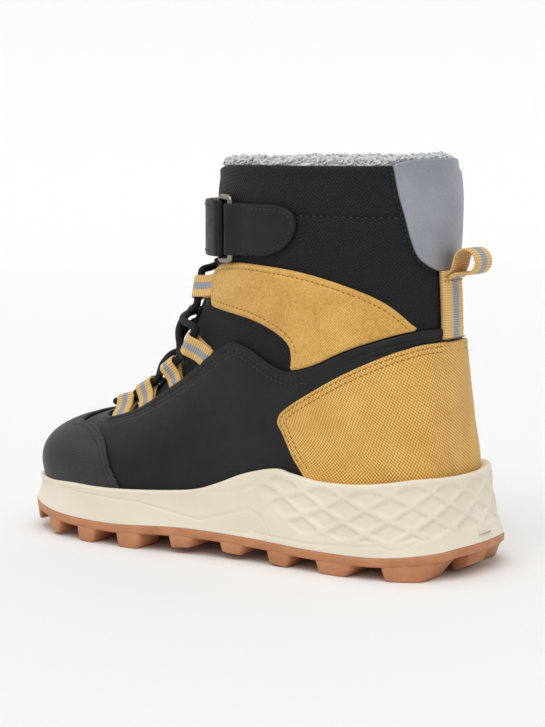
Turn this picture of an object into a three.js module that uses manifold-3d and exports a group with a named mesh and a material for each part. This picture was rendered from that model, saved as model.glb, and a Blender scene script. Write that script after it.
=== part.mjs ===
// Child's winter hiking boot, right foot: a lasted textile bootie with a fleece lining, stuck-on
// overlays, a foam midsole, a lugged rubber outsole, a corded lace and one hook-and-loop strap.
// Millimetres, +Z up, +Y towards the toe, +X towards the outer side of the foot.
import * as THREE from 'three';
import { mergeVertices } from 'three/addons/utils/BufferGeometryUtils.js';
import Module from 'manifold-3d';

const wasm = await Module();
wasm.setup();

// ---- driving dimensions ----
const BOOT_LENGTH = 212; // heel edge to toe edge of the sole
const COLLAR_HEIGHT = 154; // ground to the collar rim at the sides
const SOLE_WIDTH = 87; // across the ball of the sole
const GAP = 0.3; // clearance between pieces that touch
const FABRIC = 1.2; // every cut panel, and the folded webbing
const LINING = 4.7; // fleece and its backing
const LINING_RISE = 2.4; // fleece standing above the textile rim
const FOOTBED = 4.5;
const PLATE = 3.2; // outsole under the midsole, without the lugs
const SHANK_THICKNESS = 1.4;
const STIFFENER = 1.1; // heel stiffener and toe puff
const LACE_RADIUS = 1.5;
const LACE_FIT = 1.1; // radial clearance of the lace in a webbing loop
const LOOP_WIDTH = 9;
const LOOP_REACH = 8; // throat edge to the lace in a loop
const LOOP_TILT = 0.3; // radians that a loop stands off the surface
const STRAP_WIDTH = 22;
const STRAP_HEIGHT = 129.3; // ground to the strap's middle
const TAPE = 0.5; // hook tape and loop tape
const RING_WIRE = 1.2; // radius of the ring's wire
const RING_CORNER = 2;
const WEBBING_WIDTH = 13;
const PULL_LOOP_REACH = 12;

// ---- layers, as offsets from the last's surface ----
const BASE = [0, FABRIC];
const OVERLAY = [BASE[1] + GAP, BASE[1] + GAP + FABRIC];
const COVER = [OVERLAY[1] + GAP, OVERLAY[1] + GAP + FABRIC];
const TONGUE = [BASE[1] + GAP, BASE[1] + GAP + 1.1];
const STRAP_INNER = [TONGUE[1] + GAP, TONGUE[1] + GAP + 1];
const LOOP_TAPE = [STRAP_INNER[1] + GAP, STRAP_INNER[1] + GAP + TAPE];
const HOOK_TAPE = [LOOP_TAPE[1] + GAP, LOOP_TAPE[1] + GAP + TAPE];
const STRAP_OUTER = [HOOK_TAPE[1] + GAP, HOOK_TAPE[1] + GAP + FABRIC];
const CAVITY = -GAP - LINING;

// ---- the last: fanned sections from the collar to the toe ----
// Each row is one section: its back or bottom point, its front or top point, half width, sideways
// shift, and the roundness of its back and front halves, for a sole 212 long and a collar 154 high.
const DRAWN = { length: 212, height: 154, width: 87 };
const SX = SOLE_WIDTH / DRAWN.width;
const SY = BOOT_LENGTH / DRAWN.length;
const SZ = COLLAR_HEIGHT / DRAWN.height;
const SECTIONS = [
  [22.5, 176, 114.5, 176, 33, 0, 2.0, 2.2],
  [22.5, 153.5, 116, 153, 34, 0, 2.0, 2.2],
  [21.5, 142, 117.5, 141, 34.5, 0, 2.0, 2.2],
  [21.5, 122, 117, 119.5, 34.5, 0, 2.0, 2.2],
  [20.5, 101, 122, 104.5, 34, 0, 2.1, 2.2],
  [20, 80, 129, 92, 33, 0, 2.4, 2.2],
  [18, 55, 135, 81, 32.5, 0, 2.8, 2.2],
  [17, 36, 140, 72.5, 32, 0, 3.3, 2.2],
  [27, 24, 146.5, 65, 32, 0.5, 4.0, 2.2],
  [60, 20, 154, 58, 32, 1, 4.5, 2.2],
  [100, 18, 162, 52, 33.5, 1.5, 4.5, 2.2],
  [135, 15.5, 171.5, 48.5, 36.5, 1.5, 4.5, 2.3],
  [162, 15, 182, 45.5, 36, 0, 4.5, 2.4],
  [181, 15.5, 191, 42, 29.5, -3, 4, 2.4],
  [193, 17.5, 197.5, 37, 19, -5, 3.4, 2.4],
  [199, 20, 200.5, 31, 9.5, -6, 3, 2.4],
  [201, 25, 201, 25.5, 1, -6, 3, 2.4],
];
const LAST_ROW = SECTIONS.length - 1;
const TOE_ROW = 15.6; // where the surface closes over the toe

const sectionCurve = (u, ku, v, kv) =>
  new THREE.SplineCurve(SECTIONS.map((row) => new THREE.Vector2(row[u] * ku, row[v] * kv)));
const backLine = sectionCurve(0, SY, 1, SZ);
const frontLine = sectionCurve(2, SY, 3, SZ);
const widthLine = sectionCurve(4, SX, 5, SX);
const roundLine = sectionCurve(6, 1, 7, 1);

// One section at row s, grown outwards by an offset in its own plane.
function section(s, offset) {
  const t = s / LAST_ROW;
  const backDir = backLine.getTangent(t);
  const frontDir = frontLine.getTangent(t);
  const back = backLine.getPoint(t).add(new THREE.Vector2(backDir.y, -backDir.x).multiplyScalar(offset));
  const front = frontLine.getPoint(t).add(new THREE.Vector2(-frontDir.y, frontDir.x).multiplyScalar(offset));
  const width = widthLine.getPoint(t);
  const round = roundLine.getPoint(t);
  const fade = Math.min(1, LAST_ROW - s);
  return { back, front, half: width.x + offset * fade, shift: width.y, round };
}

// A point of the surface: angle 0 is the back or bottom, PI the front or top, positive the inner side.
function formPoint(s, angle, offset) {
  const { back, front, half, shift, round } = section(s, offset);
  const cosine = Math.cos(angle);
  const power = cosine > 0 ? round.x : round.y;
  const along = -Math.sign(cosine) * Math.abs(cosine) ** (2 / power);
  const across = half * Math.abs(Math.sin(angle)) ** (2 / power);
  const y = (back.x + front.x) / 2 + (along * (front.x - back.x)) / 2;
  const z = (back.y + front.y) / 2 + (along * (front.y - back.y)) / 2;
  return new THREE.Vector3(shift + (angle > 0 ? -across : across), y, z);
}

// The row and angle of the surface point seen at (y, z) from the side.
function locate(y, z, offset) {
  const miss = (s) => {
    const { back, front } = section(s, offset);
    return (front.x - back.x) * (z - back.y) - (front.y - back.y) * (y - back.x);
  };
  let low = 0;
  let high = TOE_ROW;
  for (let step = 0; step < 50; step += 1) {
    const middle = (low + high) / 2;
    if (miss(middle) < 0) low = middle;
    else high = middle;
  }
  const { back, front, round } = section(low, offset);
  const chord = front.clone().sub(back);
  const along = (2 * new THREE.Vector2(y, z).sub(back).dot(chord)) / chord.lengthSq() - 1;
  const power = along < 0 ? round.x : round.y;
  const cosine = -Math.sign(along) * Math.min(1, Math.abs(along)) ** (power / 2);
  return { s: low, angle: Math.acos(cosine) };
}

// The point on the inner (-1) or outer (+1) side seen at (y, z), with its outward normal.
function surfaceAt(y, z, offset, side) {
  const { s, angle } = locate(y, z, offset);
  const turn = -side * angle;
  const step = 0.02;
  const point = formPoint(s, turn, offset);
  const alongRow = formPoint(s, turn + step, offset).sub(formPoint(s, turn - step, offset));
  const acrossRow = formPoint(s + step, turn, offset).sub(formPoint(s - step, turn, offset));
  return { point, normal: alongRow.cross(acrossRow).normalize(), s, angle: turn };
}

// ---- solids ----
function solidFrom(positions, triangles) {
  const mesh = new wasm.Mesh({
    numProp: 3,
    vertProperties: Float32Array.from(positions),
    triVerts: Uint32Array.from(triangles),
  });
  return new wasm.Manifold(mesh);
}

function solidOf(geometry) {
  const bare = geometry.clone();
  bare.deleteAttribute('normal');
  bare.deleteAttribute('uv');
  const merged = mergeVertices(bare, 1e-4);
  return solidFrom(merged.attributes.position.array, merged.index.array);
}

function geometryOf(solid) {
  const { vertProperties, triVerts } = solid.getMesh();
  const geometry = new THREE.BufferGeometry();
  geometry.setAttribute('position', new THREE.BufferAttribute(vertProperties, 3));
  geometry.setIndex(new THREE.BufferAttribute(triVerts, 1));
  geometry.computeVertexNormals();
  return geometry;
}

// A closed skin over rings of points, with a fan over each end.
function ringSolid(rings) {
  const sides = rings[0].length;
  const positions = rings.flat().flatMap((p) => p.toArray());
  const triangles = [];
  for (let i = 0; i < rings.length - 1; i += 1) {
    for (let j = 0; j < sides; j += 1) {
      const a = i * sides + j;
      const b = i * sides + ((j + 1) % sides);
      triangles.push(a, b, b + sides, a, b + sides, a + sides);
    }
  }
  const centre = (ring) => ring.reduce((sum, p) => sum.add(p), new THREE.Vector3()).divideScalar(sides);
  const first = rings.length * sides;
  positions.push(...centre(rings[0]).toArray(), ...centre(rings[rings.length - 1]).toArray());
  for (let j = 0; j < sides; j += 1) {
    const next = (j + 1) % sides;
    const end = (rings.length - 1) * sides;
    triangles.push(first, next, j, first + 1, end + j, end + next);
  }
  return solidFrom(positions, triangles);
}

const ROWS = [0, 1, 2, 3, 4, 5, 6, 6.6, 7.2, 8, 9, 10, 11, 12, 13, 14, 15, TOE_ROW];
const COLUMNS = 22;
const envelopes = new Map();

// The closed body of the boot's surface at one offset.
function envelope(offset) {
  if (!envelopes.has(offset)) {
    const angles = Array.from({ length: COLUMNS }, (_, j) => -Math.PI + (2 * Math.PI * j) / COLUMNS);
    const rings = ROWS.map((s) => angles.map((angle) => formPoint(s, angle, offset)));
    envelopes.set(offset, ringSolid(rings));
  }
  return envelopes.get(offset);
}

const shell = ([inner, outer]) => envelope(outer).subtract(envelope(inner));

// ---- side-view cutters ----
const drawn = ([y, z]) => new THREE.Vector2(y * SY, z * SZ);
const FAR = 120; // half the width of a cutter that goes right through

// A smooth line through drawn points.
function line(points, divisions = 2) {
  return new THREE.SplineCurve(points.map(drawn)).getPoints((points.length - 1) * divisions);
}

// The prism of a side-view outline between two x planes.
function prism(outline, xMin = -FAR, xMax = FAR) {
  const geometry = new THREE.ExtrudeGeometry(new THREE.Shape(outline), {
    depth: xMax - xMin,
    bevelEnabled: false,
    curveSegments: 8,
  });
  const turn = new THREE.Matrix4().makeBasis(
    new THREE.Vector3(0, 1, 0),
    new THREE.Vector3(0, 0, 1),
    new THREE.Vector3(1, 0, 0),
  );
  geometry.applyMatrix4(turn);
  geometry.translate(xMin, 0, 0);
  return solidOf(geometry);
}

function block(xMin, xMax, yMin, yMax, zMin, zMax) {
  const geometry = new THREE.BoxGeometry(xMax - xMin, yMax - yMin, zMax - zMin);
  geometry.translate((xMin + xMax) / 2, (yMin + yMax) / 2, (zMin + zMax) / 2);
  return solidOf(geometry);
}

const inner = (solid) => solid.intersect(block(-FAR, -GAP / 2, -FAR, 3 * FAR, -FAR, 3 * FAR));
const outer = (solid) => solid.intersect(block(GAP / 2, FAR, -FAR, 3 * FAR, -FAR, 3 * FAR));
const raised = (points, rise) => points.map((p) => new THREE.Vector2(p.x, p.y + rise));

// ---- side-view lines, from the heel to the toe ----
const rimLine = line([
  [-10, 156.4], [14, 156.4], [22, 156.2], [31, 154.2], [60, 154], [95, 154], [107, 153], [113.5, 150.5],
  [119, 146.5], [130, 143],
]);
const boardLine = line([
  [-10, 33], [15, 33], [30, 31], [60, 27], [100, 24.5], [135, 22], [162, 21.5], [180, 22], [194, 24],
  [230, 26],
]);
const footbedLine = line([
  [-10, 25], [27, 24.5], [60, 20.5], [100, 18.5], [135, 16], [162, 15.5], [181, 16], [230, 18],
]);
const cupLine = line([
  [-10, 30], [30, 29], [60, 28.5], [75, 29.5], [90, 27], [105, 22], [125, 19], [150, 18], [175, 18.5],
  [195, 20], [230, 21],
]);
const quarterTop = line([
  [-10, 93], [18.8, 92.9], [26, 91.7], [35.1, 88.7], [46.2, 84.4], [58.6, 78.5], [69.5, 75.9], [78.2, 78.4],
  [86.9, 83.2], [96.9, 85.2], [109.6, 78.6], [123.6, 69.7], [140, 60.3], [155.3, 52], [169, 48.3],
  [178, 52], [188, 62],
]);
const midsoleTop = line([
  [-10, 37.5], [12, 38.3], [28, 36.7], [41, 35.6], [55, 35.5], [67, 37.1], [75, 38.2], [89, 34.9],
  [101, 30.1], [111, 26.8], [124, 25.2], [146, 23.8], [160, 23.5], [172, 23.8], [190, 23.4], [230, 23],
]);
const midsoleBottom = line([
  [-10, 13], [2, 12.3], [10, 10.6], [30, 8.7], [60, 8.7], [94, 10], [121, 10.6], [149, 9.3], [175, 9.8],
  [195, 11.4], [212, 13.4], [230, 15],
]);
const groundLine = line([
  [-10, 10], [3, 4.6], [14, 0], [20, 0], [45, 0], [66, 0], [84, 1.6], [105, 3], [122, 2.2], [134, 0],
  [146, 0], [166, 0], [186, 1.6], [203, 4.6], [213, 7.5], [230, 12],
]);

// The height of a side-view line at y.
function heightOn(points, y) {
  const after = points.findIndex((p) => p.x >= y);
  const a = points[after - 1];
  const b = points[after];
  return a.y + ((b.y - a.y) * (y - a.x)) / (b.x - a.x);
}

// The region between a top line and a bottom line.
const between = (top, bottom) => prism([...top, ...bottom.slice().reverse()]);

// ---- sole outline seen from above ----
// Each row: y, inner half width, outer half width, of the midsole's bottom edge.
const SOLE = [
  [1.4, 0, 0], [2.2, 10.5, 10.5], [5, 20, 20], [10, 28, 28], [20, 35, 35], [35, 38.6, 38.6],
  [55, 38.8, 38.8], [80, 37.4, 38.2], [105, 38.2, 40.5], [130, 41.4, 44], [148, 42.7, 44.6],
  [165, 42, 43], [180, 39.5, 36.5], [193, 34, 26], [201, 28, 17.5], [207, 20.8, 8.8],
  [210.6, 13.5, 1], [212, 7, -5.5],
];
const soleEdge = (column, sign) =>
  new THREE.SplineCurve(SOLE.map((row) => new THREE.Vector2(sign * row[column] * SX, row[0] * SY)));
const SOLE_STEPS = 40;
const innerEdge = soleEdge(1, -1);
const outerEdge = soleEdge(2, 1);

// Both edges of the sole outline at step i, drawn in by an inset at right angles to the edge.
function solePair(i, inset) {
  const t = i / SOLE_STEPS;
  const pull = (edge, sign) => {
    const point = edge.getPoint(t);
    const tangent = edge.getTangent(t);
    const reach = inset(point.x === 0 ? 0 : point.y);
    return point.add(new THREE.Vector2(sign * tangent.y, -sign * tangent.x).multiplyScalar(reach));
  };
  return [pull(innerEdge, 1), pull(outerEdge, -1)];
}

// A slab with the sole's outline: levels are [height line, rise, inset], bottom first.
function soleSlab(levels) {
  const rows = SOLE_STEPS + 1;
  const positions = [];
  levels.forEach(([heights, rise, inset]) => {
    for (let i = 0; i < rows; i += 1) {
      solePair(i, inset).forEach((p) => positions.push(p.x, p.y, heightOn(heights, p.y) + rise));
    }
  });
  const at = (level, i, side) => (level * rows + i) * 2 + side;
  const triangles = [];
  const quad = (a, b, c, d) => triangles.push(a, b, c, a, c, d);
  const top = levels.length - 1;
  const end = SOLE_STEPS;
  for (let i = 0; i < end; i += 1) {
    quad(at(0, i, 0), at(0, i + 1, 0), at(0, i + 1, 1), at(0, i, 1));
    quad(at(top, i, 0), at(top, i, 1), at(top, i + 1, 1), at(top, i + 1, 0));
    for (let level = 0; level < top; level += 1) {
      quad(at(level, i, 0), at(level + 1, i, 0), at(level + 1, i + 1, 0), at(level, i + 1, 0));
      quad(at(level, i, 1), at(level, i + 1, 1), at(level + 1, i + 1, 1), at(level + 1, i, 1));
    }
  }
  for (let level = 0; level < top; level += 1) {
    quad(at(level, 0, 0), at(level, 0, 1), at(level + 1, 0, 1), at(level + 1, 0, 0));
    quad(at(level, end, 0), at(level + 1, end, 0), at(level + 1, end, 1), at(level, end, 1));
  }
  return solidFrom(positions, triangles);
}

const heelwards = (y) => 1 - THREE.MathUtils.smoothstep(y, 2 * SY, 34 * SY);
const toewards = (y) => THREE.MathUtils.smoothstep(y, 176 * SY, 208 * SY);
const flush = () => 0;
const lipInset = (y) => 0.4 + 5.2 * heelwards(y) + 4.4 * toewards(y);
const waistInset = (y) => 1.2 + 2.6 * heelwards(y) + 2.2 * toewards(y);

// ---- sole pieces ----
const SHANK_HALF = 9;
const SHANK_TOP = 60; // well above the shank, inside the boot
const shankZone = (grow) =>
  block(-SHANK_HALF - grow, SHANK_HALF + grow, 46 * SY - grow, 112 * SY + grow, 0, SHANK_TOP);
const shankLayer = [BASE[1] + GAP, BASE[1] + GAP + SHANK_THICKNESS];
const WAIST_RISE = 9; // ground side of the midsole to the waist of its wall

// Everything under a side-view line.
const under = (points) => prism([...points, drawn([230, 0]), drawn([-10, 0])]);

function midsole() {
  const body = soleSlab([
    [midsoleBottom, 0, flush], [midsoleBottom, WAIST_RISE, waistInset], [midsoleTop, 0, lipInset],
  ]);
  const foot = prism([...raised(cupLine, -GAP), drawn([230, 90]), drawn([-10, 90])]);
  const cup = envelope(COVER[1] + GAP).intersect(foot);
  const pocket = envelope(shankLayer[1] + GAP).intersect(shankZone(GAP));
  return body.subtract(cup).subtract(envelope(BASE[1] + GAP)).subtract(pocket);
}

// A lug: four corners on the tread plate and four smaller ones at the ground.
function lug(corners, shrink) {
  const centre = corners.reduce((sum, p) => sum.add(p), new THREE.Vector2()).divideScalar(4);
  const low = corners.map((p) => p.clone().lerp(centre, shrink));
  const plate = corners.map((p) => [p.x, p.y, heightOn(midsoleBottom, p.y) - PLATE]);
  const ground = low.map((p) => [p.x, p.y, Math.max(0, heightOn(groundLine, p.y))]);
  const ends = [0, 2, 1, 0, 3, 2, 4, 5, 6, 4, 6, 7];
  const sides = [0, 1, 2, 3].flatMap((a) => {
    const b = (a + 1) % 4;
    return [a, b, b + 4, a, b + 4, a + 4];
  });
  return solidFrom([...ground.flat(), ...plate.flat()], [...ends, ...sides]);
}

// Lugs down both edges, then a middle row: [from, to] along the sole, as drawn.
const EDGE_LUGS = [
  [8, 28], [37, 56], [66, 79], [88, 101], [111, 124], [135, 149], [158, 170], [179, 189], [197, 205],
];
const MIDDLE_LUGS = [
  [4, 14], [23, 37], [50, 61], [75, 86], [99, 110], [122, 134], [146, 157], [168, 179], [189, 200],
];
const EDGE_LUG_DEPTH = 17;
const EDGE_LUG_TAPER = 0.16; // share by which a lug narrows towards the ground
const MIDDLE_LUG_HALF = 8;
const MIDDLE_LUG_TAPER = 0.2;
const LUG_CLEARANCE = 4; // from an edge lug's inner end to the sole's middle
const TOE_SHIFT = -4; // the tip of the sole leans to the inner side

function outsole() {
  const plate = soleSlab([[midsoleBottom, -PLATE - GAP, flush], [midsoleBottom, -GAP, flush]]);
  const edgeX = (edge, y) => edge.getPoints(120).find((p) => p.y >= y).x;
  const lugs = [];
  EDGE_LUGS.forEach(([from, to]) => {
    const ends = [from * SY, to * SY];
    [innerEdge, outerEdge].forEach((edge) => {
      const [a, b] = ends.map((y) => edgeX(edge, y));
      const room = (x) => Math.min(EDGE_LUG_DEPTH * SX, Math.abs(x) - LUG_CLEARANCE);
      const depth = (x) => x - Math.sign(x) * room(x);
      const corners = [
        new THREE.Vector2(a, ends[0]), new THREE.Vector2(b, ends[1]),
        new THREE.Vector2(depth(b), ends[1]), new THREE.Vector2(depth(a), ends[0]),
      ];
      lugs.push(lug(a < 0 ? corners.reverse() : corners, EDGE_LUG_TAPER));
    });
  });
  MIDDLE_LUGS.forEach(([from, to]) => {
    const half = MIDDLE_LUG_HALF * SX;
    const shift = from > 180 ? TOE_SHIFT * SX : 0;
    lugs.push(lug([
      new THREE.Vector2(shift - half, from * SY), new THREE.Vector2(shift + half, from * SY),
      new THREE.Vector2(shift + half, to * SY), new THREE.Vector2(shift - half, to * SY),
    ], MIDDLE_LUG_TAPER));
  });
  return lugs.reduce((sum, piece) => sum.add(piece), plate);
}

const shank = () => shell(shankLayer).intersect(shankZone(0)).intersect(under(boardLine));
const insoleBoard = () => shell(BASE).intersect(under(raised(boardLine, -GAP)));
const footbed = () =>
  envelope(CAVITY - GAP).intersect(under(raised(footbedLine, LINING + GAP + FOOTBED)));

// ---- lining and its stiffeners ----
const stiffLayer = [-GAP - STIFFENER, -GAP];
const heelZone = (grow) => prism([
  [-10, 34 - grow], [70 + grow, 34 - grow], [52 + grow, 62 + grow], [-10, 74 + grow],
].map(drawn));
const toeZone = (grow) => prism([
  [172 - grow, 20 - grow], [230, 20 - grow], [230, 70], [180 - grow, 70],
].map(drawn));

function lining() {
  const rim = prism([...raised(rimLine, LINING_RISE), drawn([230, 143]), drawn([230, 0]), drawn([-10, 0])]);
  const room = shell([stiffLayer[0] - GAP, 1]);
  return shell([CAVITY, -GAP])
    .intersect(rim)
    .subtract(room.intersect(heelZone(GAP)))
    .subtract(room.intersect(toeZone(GAP)));
}

const heelStiffener = () => shell(stiffLayer).intersect(heelZone(0));
const toePuff = () => shell(stiffLayer).intersect(toeZone(0));

// ---- base textile ----
const baseRegion = prism([...rimLine, drawn([230, 143]), ...boardLine.slice().reverse()]);
const vampLine = [[176, 80], [152, 50], [134, 10]].map(drawn);
const vampRegion = prism([...vampLine, drawn([240, 10]), drawn([240, 80])]);
const shaftRegion = prism([
  ...vampLine.map((p) => new THREE.Vector2(p.x - GAP, p.y)),
  drawn([-10, 10]), drawn([-10, 180]), drawn([176, 180]),
]);
const textile = () => shell(BASE).intersect(baseRegion);

// ---- overlays ----
const quarterFoot = [...cupLine.slice(0, -1), drawn([210, 20.5])];
const quarterRegion = (rise) => between(raised(quarterTop, rise), quarterFoot);
const toeSeam = line([
  [182.5, 62], [182, 50], [180.5, 46.8], [174, 46.6], [166.6, 45.5], [159.3, 41.8], [155.9, 37.1],
  [152.3, 29.4], [148.8, 24], [146, 17],
]);
const toeRegion = prism([...toeSeam, drawn([230, 17]), drawn([230, 62])]).intersect(
  prism([...raised(cupLine, GAP), drawn([230, 70]), drawn([-10, 70])]),
);
const counterEdge = line([
  [-10, 88], [17, 87.8], [25.7, 85.7], [34.8, 81.7], [46, 76.1], [58.4, 69], [68.1, 63], [73, 59],
  [74, 55.5], [72, 52], [67.5, 43.3], [62.8, 36.7], [59, 30],
]);
const counterRegion = prism([...counterEdge, drawn([55, 29.2]), drawn([30, 29.5]), drawn([-10, 30.5])]);
const ankleRegion = prism([
  ...line([[15, 80], [23.7, 93.1], [32.7, 102.9], [46.5, 109.5], [64.5, 114.2], [87, 116.3],
    [103, 115.6], [110.5, 112.6], [112.6, 109], [112.4, 104], [110.3, 98.3]]),
  ...line([[110, 98], [98.7, 96.7], [87, 94.8], [77.5, 91.5], [70.5, 87], [68.4, 82], [69.3, 72]]),
]);
const patchRegion = prism([
  ...line([[-10, 112], [15, 112.4], [19.5, 113.8], [22.3, 116.6], [24.7, 120.6], [26.3, 126.6],
    [27.9, 135.6], [29.8, 144.8], [31.6, 154]]),
  ...line([[31.6, 154.2], [22, 156.8], [-10, 157.2]]),
]);
const ankleOverlay = () => shell(OVERLAY).intersect(ankleRegion).subtract(quarterRegion(GAP));

// ---- tongue ----
const TONGUE_HALF = 11.5 * SX;
function tongue() {
  const outline = [[100, 147], [130, 147], [163, 66], [155, 40], [140, 40], [100, 96]].map(drawn);
  return shell(TONGUE).intersect(prism(outline, -TONGUE_HALF, TONGUE_HALF)).subtract(quarterRegion(1));
}

// ---- back strip and pull loop ----
const WEBBING_HALF = WEBBING_WIDTH / 2;
const STRIP_TOP = 114.5;
function heelWebbing() {
  const strip = (from, to) =>
    block(-WEBBING_HALF, WEBBING_HALF, -20, 45 * SY, from * SZ, to * SZ);
  const face = shell(COVER).intersect(strip(88.5, STRIP_TOP));
  return face.add(shell([OVERLAY[0], COVER[1]]).intersect(strip(93.8, 111)));
}

// A teardrop round the origin's left: two flat layers at its root that part and meet round a far end.
function teardrop(path, start, root, far, half) {
  const belly = far + half;
  const bend = (4 * far - belly) / 3; // control points that bring the curve's end to far
  path.moveTo(start, root);
  path.bezierCurveTo(start - 3, root, belly + 3, half, belly, half);
  path.bezierCurveTo(bend, half, bend, -half, belly, -half);
  path.bezierCurveTo(belly + 3, -half, start - 3, -root, start, -root);
  return path;
}

const PULL_LOOP_ROOT = 113; // height of the root
const PULL_LOOP_TILT = 0.66; // radians that the loop slopes up
const PULL_LOOP_HALF = 5.2;
const loopRoot = section(locate(30 * SY, PULL_LOOP_ROOT * SZ, 0).s, COVER[1] + 4 * GAP).back;
function pullLoop() {
  const far = -PULL_LOOP_REACH - FABRIC;
  const shape = teardrop(new THREE.Shape(), 0, FABRIC - 0.1, far, PULL_LOOP_HALF);
  const hole = teardrop(new THREE.Path(), -2, 0.1, far + FABRIC, PULL_LOOP_HALF - FABRIC);
  shape.holes.push(hole);
  const geometry = new THREE.ExtrudeGeometry(shape, {
    depth: WEBBING_WIDTH,
    bevelEnabled: false,
    curveSegments: 6,
  });
  geometry.rotateZ(-PULL_LOOP_TILT);
  geometry.translate(loopRoot.x, loopRoot.y, -WEBBING_HALF);
  geometry.applyMatrix4(new THREE.Matrix4().makeBasis(
    new THREE.Vector3(0, 1, 0),
    new THREE.Vector3(0, 0, 1),
    new THREE.Vector3(1, 0, 0),
  ));
  return solidOf(geometry);
}

// ---- lace loops, toe end first: where each one leaves the throat's edge, and the edge's slope ----
const LACE_LOOPS = [
  { y: 164.5, z: 50, slope: [-14, 3.5] },
  { y: 149.5, z: 55.4, slope: [-15, 8] },
  { y: 131.5, z: 65.5, slope: [-15, 8.6] },
  { y: 113, z: 78.8, slope: [-7, 11.5] },
  { y: 112.6, z: 106, slope: [0.6, 9] },
];
const TUNNEL = LACE_RADIUS + LACE_FIT;

const LACE_RISE = FABRIC / 2 + 1; // the lace's middle above the loop's foot

// A direction tipped towards another one by an angle.
const tipped = (from, to, angle) =>
  from.clone().multiplyScalar(Math.cos(angle)).addScaledVector(to, Math.sin(angle));

// The frame of a lace loop: where the webbing leaves the edge, and where the lace runs in it.
function loopFrame({ y, z, slope }, side) {
  const near = 0.1; // share of the slope that gives a neighbouring place
  const edge = surfaceAt(y * SY, z * SZ, OVERLAY[0], side);
  const ahead = surfaceAt(y * SY + slope[0] * near, z * SZ + slope[1] * near, OVERLAY[0], side);
  const along = ahead.point.clone().sub(edge.point).normalize();
  const inward = along.clone().cross(edge.normal).multiplyScalar(side).normalize();
  const up = tipped(edge.normal, inward, -LOOP_TILT);
  const out = tipped(inward, edge.normal, LOOP_TILT);
  const lace = edge.point.clone().addScaledVector(out, LOOP_REACH).addScaledVector(up, LACE_RISE);
  return { edge, along, up, out, lace, side };
}

function laceLoop(frame) {
  const wall = FABRIC * 0.75;
  const shape = new THREE.Shape();
  const radius = TUNNEL + wall;
  shape.moveTo(2 * GAP, 0);
  shape.lineTo(LOOP_REACH - radius * 0.6, 0);
  shape.absarc(LOOP_REACH, LACE_RISE, radius, -Math.PI * 0.7, Math.PI * 0.8, false);
  shape.lineTo(2 * GAP, FABRIC);
  const hole = new THREE.Path();
  hole.absarc(LOOP_REACH, LACE_RISE, TUNNEL, 0, Math.PI * 2, true);
  shape.holes.push(hole);
  const geometry = new THREE.ExtrudeGeometry(shape, {
    depth: LOOP_WIDTH,
    bevelEnabled: false,
    curveSegments: 9,
  });
  const across = frame.out.clone().cross(frame.up);
  geometry.applyMatrix4(new THREE.Matrix4().makeBasis(frame.out, frame.up, across));
  const start = frame.edge.point.clone().addScaledVector(across, -LOOP_WIDTH / 2);
  geometry.translate(start.x, start.y, start.z);
  return solidOf(geometry);
}

const frames = {
  medial: LACE_LOOPS.map((loop) => loopFrame(loop, -1)),
  lateral: LACE_LOOPS.map((loop) => loopFrame(loop, 1)),
};

// ---- lace ----
const LACE_LOW = TONGUE[1] + LACE_RADIUS + 0.6;
const LACE_LEAD = 2.4; // straight lace outside a loop's mouth
const LACE_HIGH = LACE_LOW + 2 * LACE_RADIUS + 0.8;

// The points of one pass through a loop, from its lower end to its upper end.
const MOUTH = LOOP_WIDTH / 2;
const throughLoop = ({ lace, along }) =>
  [-MOUTH - LACE_LEAD, -MOUTH, 0, MOUTH, MOUTH + LACE_LEAD].map((reach) =>
    lace.clone().addScaledVector(along, reach));

const sideView = (point) => new THREE.Vector2(point.y, point.z);

// The row whose front line is square across the throat from a side-view point.
function ridgeRow(from, direction, offset) {
  let best = { row: 0, miss: Infinity };
  for (let row = 2; row < 13; row += 0.05) {
    const miss = Math.abs(section(row, offset).front.sub(from).dot(direction));
    if (miss < best.miss) best = { row, miss };
  }
  return best.row;
}

const SHOULDER_SHARE = 0.62; // from a loop's mouth to the middle of the throat

// The points over the tongue from one loop's upper mouth to the next loop's lower mouth, at a given
// height over the middle.
function crossing(from, to, height) {
  const leave = sideView(throughLoop(from)[4]);
  const arrive = sideView(throughLoop(to)[0]);
  const direction = sideView(to.lace).sub(sideView(from.lace)).normalize();
  const row = ridgeRow(leave.clone().add(arrive).multiplyScalar(0.5), direction, height);
  const top = formPoint(row, Math.PI, height);
  const shoulder = (end, frame) => {
    const place = end.clone().lerp(sideView(top), SHOULDER_SHARE);
    return surfaceAt(place.x, place.y, (height + LACE_LOW) / 2 + 0.4, frame.side).point;
  };
  return [shoulder(leave, from), top, shoulder(arrive, to)];
}

// The knot that ends both strands, over the tongue and just under the strap.
const KNOT_HEIGHT = 113.4;
const KNOT_SIZE = [4.2, 2.4, 2.8]; // half its width, depth and height
const KNOT_INSET = 1.8; // from the knot's middle to each strand's end
const knotRow = ridgeRow(new THREE.Vector2(0, KNOT_HEIGHT * SZ), new THREE.Vector2(0, 1), LACE_LOW);
const knotPlace = formPoint(knotRow, Math.PI, TONGUE[1] + 3 * GAP + KNOT_SIZE[1]);

function knot() {
  const geometry = new THREE.SphereGeometry(1, 14, 8);
  const lifted = formPoint(knotRow, Math.PI, TONGUE[1] + 4 * GAP + KNOT_SIZE[1]);
  const normal = lifted.sub(knotPlace).normalize();
  const across = new THREE.Vector3(1, 0, 0);
  geometry.scale(...KNOT_SIZE);
  geometry.applyMatrix4(new THREE.Matrix4().makeBasis(across, normal, across.clone().cross(normal)));
  geometry.translate(...knotPlace.toArray());
  return solidOf(geometry);
}

// The points from the top loop's mouth into the knot.
function toKnot(frame) {
  const place = sideView(throughLoop(frame)[4]).lerp(sideView(knotPlace), 0.5);
  const shoulder = surfaceAt(place.x, place.y, LACE_LOW + GAP, frame.side).point;
  return [shoulder, knotPlace.clone().add(new THREE.Vector3(frame.side * KNOT_INSET, 0, 0))];
}

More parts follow.
